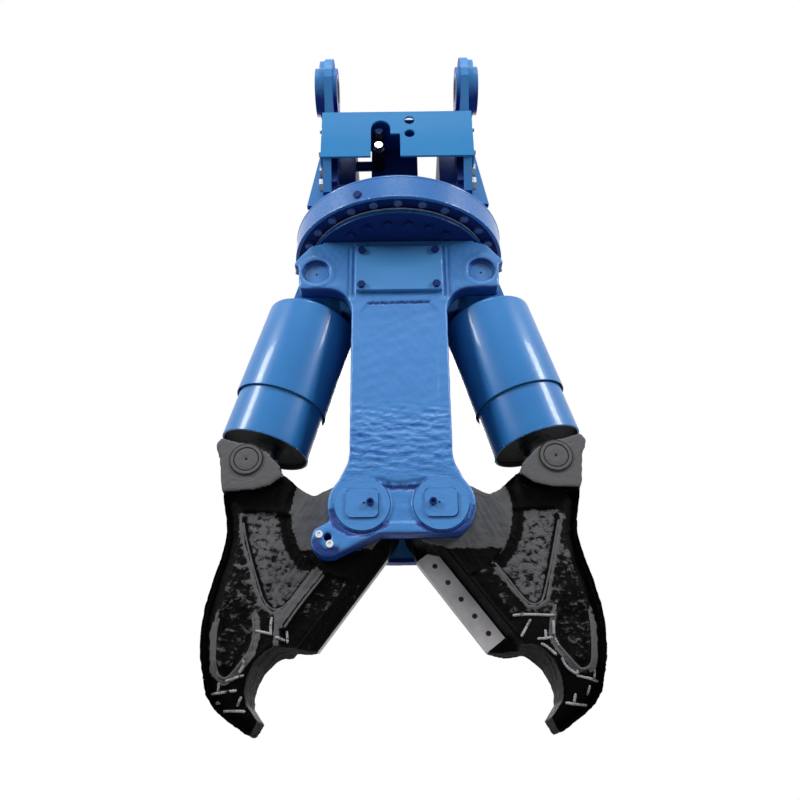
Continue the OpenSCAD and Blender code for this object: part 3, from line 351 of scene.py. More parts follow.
finish = {
    "guard": sprayedEnamel("acrylicEnamelGuards", "#2F7CC0", "#2468B0", roughness=0.28, worn=0.62, coat=0.22),
    "sheet": sprayedEnamel("acrylicEnamelSheet", "#2B7EBA", "#2677B2", roughness=0.38, coat=0.03,
                           specular=0.08),
    # the plates' deep blue is painted shade, with a painted highlight on faces that look front or back
    "plate": sprayedEnamel("acrylicEnamelPlates", "#123E94", "#0B2A70", roughness=0.38, peel=0.3, coat=0.05,
                           specular=0.14, edge="#4688C8"),
    "drum": sprayedEnamel("acrylicEnamelDrum", "#2A70B8", "#1A54A0", roughness=0.22, worn=1.0, coat=0.45),
    # a darker copy of the blue enamel as painted shade, for parts and faces that lie in shadow
    "navy": sprayedEnamel("acrylicEnamelShade", "#152D6E", "#0E1F52", roughness=0.4, peel=0.25, coat=0.05,
                          specular=0.12),
    # the covers' blue is lighter than the frame's as painted light on the head
    "cover": sprayedEnamel("acrylicEnamelCoversLit", "#4C90D0", "#4688CA", roughness=0.34, coat=0.2),
    "cast": castEnamel("enamelOverCasting", "#4283C8", "#1B52AC"),
    "black": blackCasting("blackPaintOverCasting"),
    # black as painted shadow, inside the guards, in small holes and between rings
    "shadowBlack": sprayedEnamel("enamelInShadow", "#07080C", "#050507", roughness=0.6, coat=0.0),
    "weld": blackCasting("rubbedWeldBead", "#AEAEB0"),
    "cap": castEnamel("enamelOverCap", "#4A8ACE", "#2F68B8"),
    # a paler blue on the bolts under the drum as a painted highlight, under a glossy coat
    "glint": sprayedEnamel("acrylicEnamelBolts", "#4A629E", "#2C4484", roughness=0.14, coat=1.0),
    "rim": sprayedEnamel("acrylicEnamelRim", "#2E6CB8", "#1F58A8", roughness=0.3, worn=1.2),
    "hex": toolSteel("blackOxideSteel", "#26282C", "#141518", roughness=0.35, metallic=0.6),
    "zincBright": toolSteel("brightZincCap", "#E4E6EA", "#B8BCC4", roughness=0.2, lines=(1.0, 1.0, 1.0),
                            pitch=5),
    "blade": toolSteel("groundToolSteel", "#DAD6DA", "#BAB6BB", roughness=0.42, metallic=0.3),
    "zinc": toolSteel("zincPlatedSteel", "#A9AEB6", "#6D7178", roughness=0.3, lines=(1.0, 1.0, 1.0), pitch=6),
    "chrome": toolSteel("hardChrome", "#C9CCD2", "#B4B8C0", roughness=0.12, lines=(8.0, 8.0, 1.0), pitch=14),
    "turned": toolSteel("turnedSteel", "#9A9CA2", "#6E7076", roughness=0.3, lines=(1.0, 6.0, 6.0)),
    "bronze": toolSteel("turnedBronze", "#B08A4E", "#7A5C30", roughness=0.35),
}
print("materials ready:", len(finish))


def lineDistance(x, z, path):
    # distance to an open line of points
    best = np.full(x.shape, 1e9)
    for a, b in zip(np.asarray(path, float)[:-1], np.asarray(path, float)[1:]):
        d = b - a
        t = np.clip(((x - a[0]) * d[0] + (z - a[1]) * d[1]) / (d @ d), 0, 1)
        best = np.minimum(best, np.hypot(x - a[0] - t * d[0], z - a[1] - t * d[1]))
    return best


def ridge(distance, width):
    # one on a line, falling to nothing over about twice the width
    return np.exp(-(distance / width) ** 2)


def solidOf(node, cuts=()):
    # a copy of a CAD node's mesh, cut by planes given as (point, direction); what lies ahead of a direction
    # goes, and every cut is closed flat
    bm = bmesh.new()
    bm.from_mesh(nodes[node].data)
    bmesh.ops.remove_doubles(bm, verts=bm.verts, dist=1e-6)
    for point, direction in cuts:
        made = bmesh.ops.bisect_plane(bm, geom=bm.verts[:] + bm.edges[:] + bm.faces[:], dist=1e-7,
                                      plane_co=tuple(place(point)), plane_no=direction, clear_outer=True)
        rim = [e for e in made["geom_cut"] if isinstance(e, bmesh.types.BMEdge)]
        bmesh.ops.triangle_fill(bm, edges=rim, use_beauty=True)
    return bm


def evened(bm, voxel):
    # the solid as a grid of even four-sided faces, one voxel wide, in millimetres
    mesh = bpy.data.meshes.new("block")
    bm.to_mesh(mesh)
    bm.free()
    block = addObject("block", mesh)
    even = block.modifiers.new("even", "REMESH")
    even.mode, even.voxel_size = "VOXEL", voxel / 1000
    bpy.context.view_layer.update()
    done = block.evaluated_get(bpy.context.evaluated_depsgraph_get()).to_mesh()
    points = np.empty(len(done.vertices) * 3, np.float32)
    done.vertices.foreach_get("co", points)
    corners = np.empty(len(done.loops), np.int32)
    done.loops.foreach_get("vertex_index", corners)
    bpy.data.objects.remove(block)
    bpy.data.meshes.remove(mesh)
    return points.reshape(-1, 3).astype(float) * 1000 - pinOffset, corners.reshape(-1, 4)


def relaxed(points, faces, rounds, amount):
    # every point goes part of the way to the mean of its neighbours, which softens the edges
    here, there, n = faces.ravel(), np.roll(faces, -1, 1).ravel(), len(points)
    count = np.maximum(np.bincount(here, minlength=n), 1)[:, None]
    amount = np.broadcast_to(amount, (n,))[:, None]
    for _ in range(rounds):
        mean = np.stack([np.bincount(here, points[there, k], n) for k in range(3)], 1) / count
        points = points + (mean - points) * amount
    return points


def outward(points, faces):
    across = np.cross(points[faces[:, 2]] - points[faces[:, 0]], points[faces[:, 3]] - points[faces[:, 1]])
    total = [np.bincount(faces.ravel(), np.repeat(across[:, k], 4), len(points)) for k in range(3)]
    total = np.stack(total, 1)
    return total / np.maximum(np.linalg.norm(total, axis=1), 1e-9)[:, None]


# Cylinder guards: steel sleeves round the barrel and the rod, rolled lips, paint chipped at the mouths, and
# their insides painted shadow black
cylinder = {"ear": (214.0, 0.0, -113.0), "along": (0.26784, 0.0, -0.96346), "segments": 224}
guards = {
    "upper": {"top": 76.6, "mouth": 338.6, "radius": 118.0, "wall": 5.0, "ring": 10.0, "bore": 76.0,
              "body": "_cylinder"},
    "lower": {"top": 126.6, "mouth": 462.6, "radius": 111.0, "wall": 5.0, "ringTop": 442.6, "ring": 10.0,
              "bore": 40.0, "body": "_rod"},
}


def sides(surface):
    # the right-hand surface and its half turn
    points, faces = surface
    return {"right": (points, faces), "left": (points * halfTurn, faces)}


g = guards["upper"]
inner = g["radius"] - g["wall"]
profile = softProfile([(g["bore"] + 0.3, g["top"]), (g["radius"], g["top"]), (g["radius"], g["mouth"]),
                       (inner, g["mouth"]), (inner, g["top"] + g["ring"]),
                       (g["bore"] + 0.3, g["top"] + g["ring"])], [1.5, 9, 2.2, 2.2, 3, 1.5], steps=7)
for side, surface in sides(turned(profile, cylinder["ear"], cylinder["along"], cylinder["segments"])).items():
    depth = np.abs(np.repeat(profile[:, 1], cylinder["segments"]) - g["mouth"])
    within = np.repeat((profile[:, 0] < g["radius"] - 1.2) & (profile[:, 1] > g["top"] + g["ring"] + 1),
                       cylinder["segments"])
    makePiece("upperGuard" + side.title(), surface, finish["guard"], side + g["body"], "blue_enamel",
              hides=["upper_guard_" + side], values={"wear": np.clip(1 - depth / 8, 0, 1)},
              second=(finish["shadowBlack"], within))
g = guards["lower"]
inner = g["radius"] - g["wall"]
profile = softProfile([(g["radius"], g["top"]), (g["radius"], g["mouth"] - 60),
                       (g["radius"], g["mouth"] - 30), (g["radius"], g["mouth"]), (inner, g["mouth"]),
                       (inner, g["ringTop"] + g["ring"]), (g["bore"] + 0.3, g["ringTop"] + g["ring"]),
                       (g["bore"] + 0.3, g["ringTop"]), (inner, g["ringTop"]), (inner, g["top"])],
                      [1.5, 1, 1, 2.2, 2.2, 2, 1, 1, 2, 1.5], steps=6)
for side, surface in sides(turned(profile, cylinder["ear"], cylinder["along"], cylinder["segments"])).items():
    height, radius = np.repeat(profile, cylinder["segments"], 0).T[::-1]
    wear = np.clip(1 - np.abs(height - g["mouth"]) / 46, 0, 1) * (radius > inner + 1)
    within = np.repeat(profile[:, 0] < inner + 0.6, cylinder["segments"])
    makePiece("lowerGuard" + side.title(), surface, finish["guard"], side + g["body"], "blue_enamel",
              hides=["lower_guard_" + side], values={"wear": wear}, second=(finish["shadowBlack"], within))
print("guards ready")

# Jaws: castings with a sunk V panel, a raised band beside it, a lower pocket with a double rim and a
# chamfered back. Lines are (x, z) on the right jaw, open; "outer" and the pocket's line are shares of its
# reach and drop from the pivot.
jaw = {"pivot": (88.0, -748.0), "half": 88.0, "tipHalf": 44.0, "taperTop": -1075.6, "tip": -1216.0,
       "lean": math.radians(36.8), "edge": 102.0, "reach": 344.0, "drop": 468.0, "voxel": 3.2,
       "softening": 7,
       "outer": [(0.945, 0.10), (0.90, -0.04), (0.89, -0.13), (0.913, -0.23), (0.95, -0.33), (0.985, -0.45),
                 (0.997, -0.55), (0.99, -0.65), (0.968, -0.75), (0.945, -0.83), (0.90, -0.885),
                 (0.83, -0.93), (0.745, -0.97), (0.70, -0.995)],
       "pocket": [(0.67, -1.0), (0.625, -0.94), (0.70, -0.87), (0.705, -0.81), (0.69, -0.76),
                  (0.655, -0.705), (0.605, -0.665), (0.545, -0.635), (0.35, -0.65)],
       "rodPin": (358.0, -631.0), "disc": 162.0, "groove": 178.0, "mainBore": 68.0, "rodBore": 46.0,
       "hub": (84.0, 100.0), "earFace": 100.0, "seatWidth": 60.0, "seatSpan": (34.0, 312.0),
       "seatFace": 32.0, "edgeKept": 6.0}
panels = {
    "front": {"side": -1,
              "vee": [(118, -746), (150, -794), (252, -940), (272, -963), (289, -965), (307, -952),
                      (356, -773), (352, -742)],
              "band": None,
              "pocket": [(318, -1031), (327, -1052), (360, -1091), (371, -1099), (389, -1093), (395, -1079),
                         (402, -1006), (398, -950), (372, -900), (338, -950)],
              "pocketOpen": -965,
              "beads": [[(234, -987), (262, -985), (325, -988)], [(273, -995), (262, -1012), (249, -1032)],
                        [(320, -998), (318, -1031), (327, -1052)],
                        [(261, -1044), (282, -1042), (302, -1052), (321, -1070)],
                        [(301, -1017), (302, -1027), (301, -1036)],
                        [(282, -1036), (300, -1036), (316, -1033)],
                        [(362, -1110), (392, -1116), (422, -1123)],
                        [(328, -1112), (327, -1140), (318, -1150), (309, -1155)],
                        [(356, -1143), (354, -1152), (352, -1161)],
                        [(325, -1159), (350, -1163), (382, -1165)],
                        [(387, -1127), (384, -1138), (380, -1147)],
                        [(330, -1075), (340, -1094), (362, -1108)],
                        [(398, -1098), (399, -1108), (396, -1118)],
                        [(362, -1098), (360, -1108), (366, -1112)]]},
    "rear": {"side": 1,
             "vee": [(362, -742), (360, -772), (349, -821), (313, -924), (300, -954), (280, -971),
                     (259, -966), (243, -949), (206, -897), (160, -832), (118, -770)],
             "band": [(254, -1008), (222, -959), (166, -888), (120, -820)],
             "pocket": [(394, -985), (399, -1018), (394, -1094), (376, -1110), (360, -1102), (324, -1058),
                        (316, -1025), (320, -985), (345, -940), (376, -930)],
             "pocketOpen": -975,
             "beads": [[(249, -1012), (246, -1034), (247, -1055)], [(311, -1066), (285, -1056), (254, -1051)],
                       [(281, -984), (283, -1002), (281, -1021)], [(315, -1013), (298, -1016), (277, -1021)],
                       [(272, -1027), (262, -1028), (251, -1033)],
                       [(420, -1137), (400, -1134), (383, -1134), (347, -1130)],
                       [(385, -1168), (352, -1168), (319, -1171)], [(385, -1115), (385, -1124), (388, -1133)],
                       [(334, -1138), (341, -1148), (346, -1161)],
                       [(327, -1126), (318, -1146), (307, -1165), (300, -1180)],
                       [(397, -1166), (394, -1158), (392, -1150), (382, -1154)],
                       [(372, -1112), (350, -1106), (322, -1098)],
                       [(322, -1098), (306, -1080), (312, -1068)],
                       [(339, -1068), (332, -1080), (344, -1098)]]},
}
# weld beads and cast ribs on the jaws: the gap between points along them, how far down the relief they
# follow it, and their form
bead = {"gap": 2.2, "margin": 7.0, "deepest": 17.0, "sunk": 0.8,
        "form": {"width": 5.5, "height": 2.6, "ripple": 0.22, "pitch": 6.5, "sink": 4.0}}
rib = {"gap": 3.0, "top": -752.0, "deepest": 6.0,
       "form": {"width": 5.0, "height": 1.6, "ripple": 0.06, "pitch": 17.0, "sink": 5.0}}
pinEnd = {"face": 116.9, "rings": [[(3.4, 0), (27, 0), (27, 1.6), (3.4, 1.6)],
                                   [(29.6, 0), (36.5, 0), (36.5, 2.2), (29.6, 2.2)]],
          "groove": [(0, 0), (40, 0), (40, 0.35), (0, 0.35)]}
edgeAhead = np.array([math.sin(jaw["lean"]), -math.cos(jaw["lean"])])
edgeInwards = np.array([-math.cos(jaw["lean"]), -math.sin(jaw["lean"])])
outerLine = np.array(jaw["outer"]) * [jaw["reach"], jaw["drop"]] + jaw["pivot"]
pocketLine = np.array(jaw["pocket"]) * [jaw["reach"], jaw["drop"]] + jaw["pivot"]
silhouette = np.concatenate([outerLine, pocketLine, [(150, -960), (100, -700), (300, -640)]])


def jawHalf(z):
    low = np.clip((jaw["taperTop"] - z) / (jaw["taperTop"] - jaw["tip"]), 0, 1)
    return jaw["half"] - (jaw["half"] - jaw["tipHalf"]) * low


def jawRelief(x, z, panel):
    # how far the face lies under the casting's highest plane, and its tone: grey for rubbing and for painted
    # sheen, dark for painted shade
    vee = -edgeDistance(x, z, panel["vee"])
    pocket = -edgeDistance(x, z, panel["pocket"])
    back = jaw["edge"] - ((x - jaw["pivot"][0]) * edgeInwards[0] + (z - jaw["pivot"][1]) * edgeInwards[1])
    outer = lineDistance(x, z, outerLine)
    swept = np.hypot(x - jaw["pivot"][0], z - jaw["pivot"][1])
    depth = np.full(x.shape, 3.0)
    tone = np.full(x.shape, 0.5)
    if panel["band"]:
        # the body beside the shear edge lies lower than the band that runs between it and the V
        past = lineDistance(x, z, panel["band"])
        bandX, bandZ = np.array(panel["band"], float)[::-1].T
        beside = (z - np.interp(x, bandX, bandZ)) < 0
        body = step(np.where(beside & (x < 262), past, -past), -1, 9)
        depth += body * 8 - (1 - body) * 2 * (vee < 0)
        # the band takes a painted sheen and a line of painted shade runs beside it
        tone += (1 - body) * (vee < 0) * (x < 275) * 0.62 - ridge(past - 2, 4) * (x < 256) * 1.1
        tone -= body * 0.02
    else:
        low = step(vee, -64, -34)
        depth += (1 - low) * 5 * (z > -1000)
        # painted shade on the face beside the shear edge
        tone -= (1 - low) * (back < 130) * 0.5
    lower = step(-z, 752, 775)
    depth += step(vee, 0, 7) * 6 + (ridge(vee - 3, 3) * 4 - ridge(vee + 5, 3.4) * 3) * lower
    # a painted highlight and a line of painted shade along the V's rim
    tone += step(vee, 2, 9) * 0.15 + (ridge(vee + 5, 3.5) * 0.7 - ridge(vee - 2.5, 3) * 1.2) * lower
    sunk = step(pocket, 0, 8) * (1 - step(z, panel["pocketOpen"] - 30, panel["pocketOpen"] + 40))
    depth += sunk * 9
    rim = ridge(pocket + 3, 2.6) + ridge(pocket + 11, 2.6)
    rim = rim * (z < panel["pocketOpen"] - 20) * (outer > 16)
    depth -= rim * 2.6
    # the pocket's rims take painted highlights and the gap between them painted shade
    tone -= sunk * 0.03 - rim * 0.8 - ridge(pocket + 7, 2.6) * 0.8 * (z < panel["pocketOpen"])
    band = 1 - step(outer, 4, 36)
    depth += band * 15 * (z < -700)
    # the chamfered outer band is darkened as painted shade
    tone -= band * 0.75 * (z < -690)
    tone -= step(-z, 850, 900) * step(-vee, 8, 20) * 0.06
    tip = step(-z, 1092, 1116)
    depth += tip * 2
    tone -= tip * 0.6 + step(-z, 978, 1000) * (outer > 60) * 0.3 * (pocket < -12)
    # a smooth grey disc round the main pin where the frame rubs it, with painted shadow below the lobe; a
    # groove past it darkened as painted shade; and painted shadow black under the rod ear
    groove = ridge(swept - jaw["groove"], 9) * (z > -880)
    depth = np.where(swept < jaw["disc"], 2.0, depth + groove * 5)
    tone = np.where(swept < jaw["disc"] + 2, 1.1 - step(-z, 828, 850) * 1.1, tone - groove * 1.2)
    tone -= step(z, -752, -738) * (swept > jaw["disc"] + 2) * 1.4
    return np.clip(depth, 0, 24), np.clip(tone, 0, 1.2)


points, faces = evened(solidOf("jaw_right"), jaw["voxel"])
rel = points[:, [0, 2]] - jaw["pivot"]
back, ahead = jaw["edge"] - rel @ edgeInwards, rel @ edgeAhead
# the blade's seat, the cutting edge and the bores keep their shape
seat = (back < jaw["seatWidth"]) & (ahead > jaw["seatSpan"][0]) & (ahead < jaw["seatSpan"][1])
seat = seat & (points[:, 1] < jaw["seatFace"]) | (back < jaw["edgeKept"])
rodPinX, rodPinZ = jaw["rodPin"]
bore = np.hypot(*rel.T) < jaw["mainBore"]
bore |= np.hypot(points[:, 0] - rodPinX, points[:, 2] - rodPinZ) < jaw["rodBore"]
points = relaxed(points, faces, jaw["softening"], np.where(seat | bore, 0.12, 0.5))
normal = outward(points, faces)
x, y, z = points.T
tone = np.full(len(points), 0.25)
for panel in panels.values():
    depth, greyRubbedAndSheen = jawRelief(x, z, panel)
    face = step(normal[:, 1] * panel["side"], 0.45, 0.9)
    face = face * (np.abs(y) > jawHalf(z) - 6) * (np.abs(y) < jawHalf(z) + 4)
    hub = step(np.hypot(*rel.T), *jaw["hub"]) * (1 - (seat & (panel["side"] < 0)))
    points[:, 1] -= panel["side"] * depth * face * hub
    tone = np.where(face > 0.3, greyRubbedAndSheen, tone)
# the flat faces of the ears are grey as painted sheen
ear = (np.abs(y) > jaw["earFace"]) & (np.abs(normal[:, 1]) > 0.7)
tone = np.where(ear, 1.15, tone)
rough = waves(points, 34, 11) * 0.5 + waves(points, 15, 12) * 0.4 + waves(points, 8, 13) * 0.2
points -= outward(points, faces) * ((rough * 0.9 + 0.9) * np.where(seat | bore | ear, 0.1, 1.0))[:, None]
tone += np.clip(-rough, -1, 1) * 0.1


def onFace(path, panel, deepest, sunk=0.0):
    # a path of (x, z) laid on a face of the jaw, following the relief down to deepest
    depth = jawRelief(path[:, 0], path[:, 1], panel)[0]
    level = (jawHalf(path[:, 1]) - np.minimum(depth, deepest) - sunk) * panel["side"]
    return np.stack([path[:, 0], level, path[:, 1]], 1)


beads, ribs, rings, grooves = [], [], [], []
for panel in panels.values():
    up = (0, panel["side"], 0)
    for stroke in panel["beads"]:
        path = evenly(stroke, bead["gap"])
        path = path[edgeDistance(path[:, 0], path[:, 1], silhouette) < -bead["margin"]]
        if len(path) > 3:
            beads.append(carried(onFace(path, panel, bead["deepest"], bead["sunk"]), up, **bead["form"]))
    lines = [(panel["vee"][1:-1], rib["top"]), (panel["pocket"], panel["pocketOpen"] - 8)]
    if panel["band"]:
        lines.append((panel["band"], rib["top"]))
    for line, top in lines:
        path = evenly(line, rib["gap"])
        path = path[(path[:, 1] < top) & (np.hypot(*(path - jaw["pivot"]).T) > jaw["disc"] + 6)]
        jumps = np.where(np.linalg.norm(np.diff(path, axis=0), axis=1) > 8)[0]
        for run in np.split(path, jumps + 1):
            if len(run) > 5:
                ribs.append(carried(onFace(run, panel, rib["deepest"]), up, **rib["form"]))
for way in (-1, 1):
    end = (rodPinX, way * pinEnd["face"], rodPinZ)
    rings += [turned(softProfile(ring, 0.8, 3), end, (0, way, 0), 72) for ring in pinEnd["rings"]]
    # under the rings, a black disc as painted shadow in the gaps between them
    grooves.append(turned(softProfile(pinEnd["groove"], 0.4, 3), end, (0, way, 0), 72))
# each piece's parts, its finish, the angle that stays sharp, and how grey it is, rubbed and with painted
# sheen
details = {"weldBeads": (beads, "weld", 60, 0.72), "rodPinEnds": (rings, "black", 40, 1.2),
           "rodPinGrooves": (grooves, "shadowBlack", 40, None), "castRibs": (ribs, "black", 60, 1.1)}
for side, surface in sides((points, faces)).items():
    makePiece("jawCasting" + side.title(), surface, finish["black"], side + "_jaw", "black_cast",
              hides=["jaw_" + side], weld=0, sharp=180, values={"tone": tone})
    for name, (parts, key, sharp, greyRubbedAndSheen) in details.items():
        surface = sides(joined(parts))[side]
        values = {"tone": np.full(len(surface[0]), greyRubbedAndSheen)} if greyRubbedAndSheen else None
        makePiece(name + side.title(), surface, finish[key], side + "_jaw", "black_cast", sharp=sharp,
                  values=values)
print("jaws ready:", len(points), "points each")

# Frame casting: two soft-edged cheeks with sunk fields, webs and the round flange
cheek = {"face": 134.0, "inner": 94.0, "top": -16.0, "voxel": 3.0, "pivots": (-88.0, 88.0), "pivotZ": -748.0,
         "ears": (-214.0, 214.0), "earZ": -113.0, "lobe": (-160.8, -828.0), "earHole": 50.0,
         "pinHole": 66.0, "lobeHole": 26.0, "capReach": 54.0, "earPinFace": -120.0, "capFace": -138.0,
         "softening": 16}
field = [(-79, -213), (75, -211), (97, -240), (93, -352), (90, -490), (82, -535), (68, -563), (40, -571),
         (-2, -574), (-60, -570), (-82, -548), (-92, -500), (-94, -352), (-98, -240)]
ledge = [(-50, -706), (50, -706), (46, -792), (-46, -792)]


def cheekRelief(x, z):
    # the depth under the face of the sunk field, the ledge between the caps and the crescents under the pins
    depth = step(-edgeDistance(x, z, field), -4, 3) * 2.6
    inLedge = -edgeDistance(x, z, ledge)
    depth += step(inLedge, -3, 4) * 4.5
    for pivot in cheek["pivots"]:
        out = np.hypot(x - pivot, z - cheek["pivotZ"])
        angle = np.degrees(np.arctan2(z - cheek["pivotZ"], (x - pivot) * np.sign(pivot)))
        under = step(-angle, -2, 22) * (1 - step(-angle, 118, 140)) * (angle < 0)
        depth += ridge(out - 61, 7.5) * 6 * under
        depth += ridge(out - 70, 3.5) * -1.2 * under
    depth += ridge(z + 698 + 4 * np.cos(x / 18), 5) * 3.5 * (np.abs(x) < 60)
    # upright ridges on both sides of the cover
    ridges = ridge(np.abs(x) - 116, 3.5) + ridge(np.abs(x) - 128, 3.0) * 0.7
    depth += ridges * step(z, -205, -190) * step(-z, 24, 34) * 3.2
    return depth


# lines of painted shade, each with half its width
shadeLines = [([(-79, -213), (75, -211)], 2.6),
              ([(-57, -704), (-30, -704), (-21, -711), (26, -710), (39, -703), (64, -702)], 5.5),
              ([(-158, -769), (-147, -796), (-116, -815), (-79, -817), (-37, -796)], 8.0),
              ([(39, -796), (66, -812), (116, -813), (152, -788), (165, -762)], 8.0),
              ([(-189, -836), (-180, -851), (-164, -860), (-146, -856)], 9.0)]


def cheekShade(x, z):
    # painted shade in the grooves, along the ledge, under the pins and at the lobe; a little noise makes its
    # edges ragged
    ragged = waves(np.stack([x, x * 0, z], 1), 11, 21) * 1.2 + waves(np.stack([x, x * 0, z], 1), 5, 22) * 0.7
    paintedShade = np.zeros(x.shape)
    for line, width in shadeLines:
        paintedShade = np.maximum(paintedShade, 1 - step(lineDistance(x, z, line) + ragged, width - 2, width + 2))
    return paintedShade


cuts = [((0, 0, cheek["top"] - 0.4), (0, 0, 1)), ((0, -cheek["inner"], -300), (0, 1, 0))]
points, faces = evened(solidOf("frame", cuts), cheek["voxel"])
x, y, z = points.T
holes = np.zeros(len(points), bool)
for centreX, centreZ, reach in ([(ex, cheek["earZ"], cheek["earHole"]) for ex in cheek["ears"]]
                                + [(px, cheek["pivotZ"], cheek["pinHole"]) for px in cheek["pivots"]]
                                + [(*cheek["lobe"], cheek["lobeHole"])]):
    holes |= np.hypot(x - centreX, z - centreZ) < reach
fixed = holes | (y > -cheek["inner"] - 4) | (z > cheek["top"] - 3)
points = relaxed(points, faces, cheek["softening"], np.where(fixed, 0.06, 0.5))
normal = outward(points, faces)
x, y, z = points.T
face = step(-normal[:, 1], 0.4, 0.9) * (y < -cheek["face"] + 8)
capArea = np.minimum.reduce([np.hypot(x - p, z - cheek["pivotZ"]) for p in cheek["pivots"]])
capArea = capArea < cheek["capReach"]
points[:, 1] += cheekRelief(x, z) * face * (1 - capArea)
# combed flow marks low on the face: waves that are long across the cheek and short down it
stretched = points * [0.3, 0.6, 1.0]
combed = waves(stretched, 15, 31, 16) + waves(stretched, 8, 32, 16) * 0.4
band = step(-z, 470, 545) * (1 - step(-z, 635, 690) * 0.9)
points[:, 1] += np.clip(combed, -2, 2) * 1.1 * band * face * (1 - fixed) * (1 - capArea)
lumps = waves(points, 60, 5) * 0.45 + waves(points, 26, 6) * 0.35
points -= outward(points, faces) * ((lumps * 0.7 + 0.8) * (1 - fixed))[:, None]
edgeWear = np.clip(1 - np.abs(normal[:, 1]), 0, 1) * 0.5
paintedShade = cheekShade(x, z) * face
points[:, 1] += paintedShade * 2.2
# painted shade on everything that faces down
paintedShade = np.maximum(paintedShade, step(-normal[:, 2], 0.3, 0.75) * 0.95)


def bothCheeks(name, surface, material, **options):
    # a piece on the front cheek and its half turn on the rear one
    for end, turn in (("Front", np.ones(3)), ("Rear", halfTurn)):
        makePiece(name + end, (surface[0] * turn, surface[1]), material, "frame", "blue_enamel", **options)


bothCheeks("frameCheek", (points, faces), finish["cast"], hides=["frame"], weld=0, sharp=180,
           values={"wear": edgeWear, "paintedShade": paintedShade})


def framePart(name, cuts, width):
    # a part of the frame cut off by planes, as a piece of its own with its edges broken, in the darker enamel
    # of painted shade
    mesh = bpy.data.meshes.new(name)
    bm = solidOf("frame", cuts)
    bmesh.ops.dissolve_limit(bm, angle_limit=math.radians(1), verts=bm.verts, edges=bm.edges)
    bm.to_mesh(mesh)
    bm.free()
    mesh.materials.append(finish["navy"])
    piece = addObject(name, mesh)
    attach(piece, "frame")
    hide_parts("frame")
    soften(piece, width)


def soften(piece, width):
    # a narrow bevel on every sharp edge, with the flat faces kept flat by their normals
    bevel = piece.modifiers.new("edges", "BEVEL")
    bevel.width, bevel.segments = width / 1000, 2
    bevel.limit_method, bevel.angle_limit = "ANGLE", math.radians(30)
    bevel.harden_normals = bevel.use_clamp_overlap = True


above = [((0, 0, cheek["top"] - 0.4), (0, 0, -1))]
between = [((0, 0, cheek["top"] - 0.4), (0, 0, 1)), ((0, cheek["inner"], -300), (0, 1, 0)),
           ((0, -cheek["inner"], -300), (0, -1, 0))]
framePart("frameFlange", above, 1.5)
framePart("frameWebs", between, 1.0)

# The gap round each cap disc is filled with paint: a thin collar that follows the face
collar = {"inner": 59.5, "outer": 67.0, "rows": 8, "segments": 180, "sink": 6.0}
parts = []
for pivot in cheek["pivots"]:
    radius, turn = np.meshgrid(np.linspace(collar["inner"], collar["outer"], collar["rows"]),
                               np.linspace(0, 2 * np.pi, collar["segments"], endpoint=False), indexing="ij")
    cx, cz = pivot + radius * np.cos(turn), cheek["pivotZ"] + radius * np.sin(turn)
    edge = np.minimum(radius - collar["inner"], collar["outer"] - radius)
    top = -cheek["face"] - 0.5 + cheekRelief(cx, cz) * step(radius, 58, 62)
    top = top + (edge < 0.1) * collar["sink"] + 0.8
    parts.append((np.stack([cx, top, cz], -1).reshape(-1, 3),
                  gridFaces(collar["rows"], collar["segments"], True)))
surface = joined(parts)
# the collars carry the painted shade of the crescents under the pins
paintedShade = cheekShade(surface[0][:, 0], surface[0][:, 2])
bothCheeks("capCollars", surface, finish["cast"], sharp=180,
           values={"wear": np.zeros(len(paintedShade)), "paintedShade": paintedShade})

# Dark seams round the square pads of the caps, as painted shadow lines
pad = {"half": (36.5, 33.5), "corner": 13.0}
parts = []
for pivot in cheek["pivots"]:
    corners = [(pivot + sx * pad["half"][0], cheek["pivotZ"] + sz * pad["half"][1])
               for sx, sz in ((-1, 1), (1, 1), (1, -1), (-1, -1))]
    loop = softProfile(corners, pad["corner"], 9)
    for part in (loop[2:14], loop[16:30]):
        path = evenly(part, 2.0, 0)
        parts.append(carried(np.stack([path[:, 0], np.full(len(path), -cheek["face"] - 0.4), path[:, 1]], 1),
                             (0, -1, 0), 2.4, 0.6, sink=0.6))
bothCheeks("padShadowSeams", joined(parts), finish["navy"], sharp=60)

# Round the slewing axis: bare specks along the flange's edge, its side, and the drum's two seams.
# Each section runs from an inner lower corner to an outer upper one, as (radius, height)
hoops = {"scratches": ((241.0, -3.2), (244.4, 0.4)), "edge": ((242.0, -15.6), (244.3, -3.6)), "softness": 0.5,
         "seamRadii": (285.4, 286.8), "seamHeights": (2.6, 66.0), "seamHalf": 1.6, "seamSoftness": 0.6}


def hoop(low, high, softness):
    section = [low, (high[0], low[1]), high, (low[0], high[1])]
    return turned(softProfile(section, softness, 3), (0, 0, 0), (0, 0, 1), 256)


surface = hoop(*hoops["scratches"], hoops["softness"])
makePiece("flangeScratches", surface, finish["rim"], "frame", "blue_enamel",
          values={"wear": np.ones(len(surface[0]))})
surface = hoop(*hoops["edge"], hoops["softness"])
makePiece("flangeEdge", surface, finish["drum"], "frame", "blue_enamel",
          values={"wear": np.zeros(len(surface[0]))})
inside, outside = hoops["seamRadii"]
surface = joined([hoop((inside, height - hoops["seamHalf"]), (outside, height + hoops["seamHalf"]),
                       hoops["seamSoftness"]) for height in hoops["seamHeights"]])
makePiece("drumSeams", surface, finish["rim"], "bracket", "blue_enamel",
          values={"wear": (surface[0][:, 2] < 20) * 0.55})

# Stiffening shelf behind the hose guard, seen through its slot and holes
shelf = {"low": (-118.0, -242.5, 305.0), "high": (118.0, -130.0, 310.0), "round": 1.6}


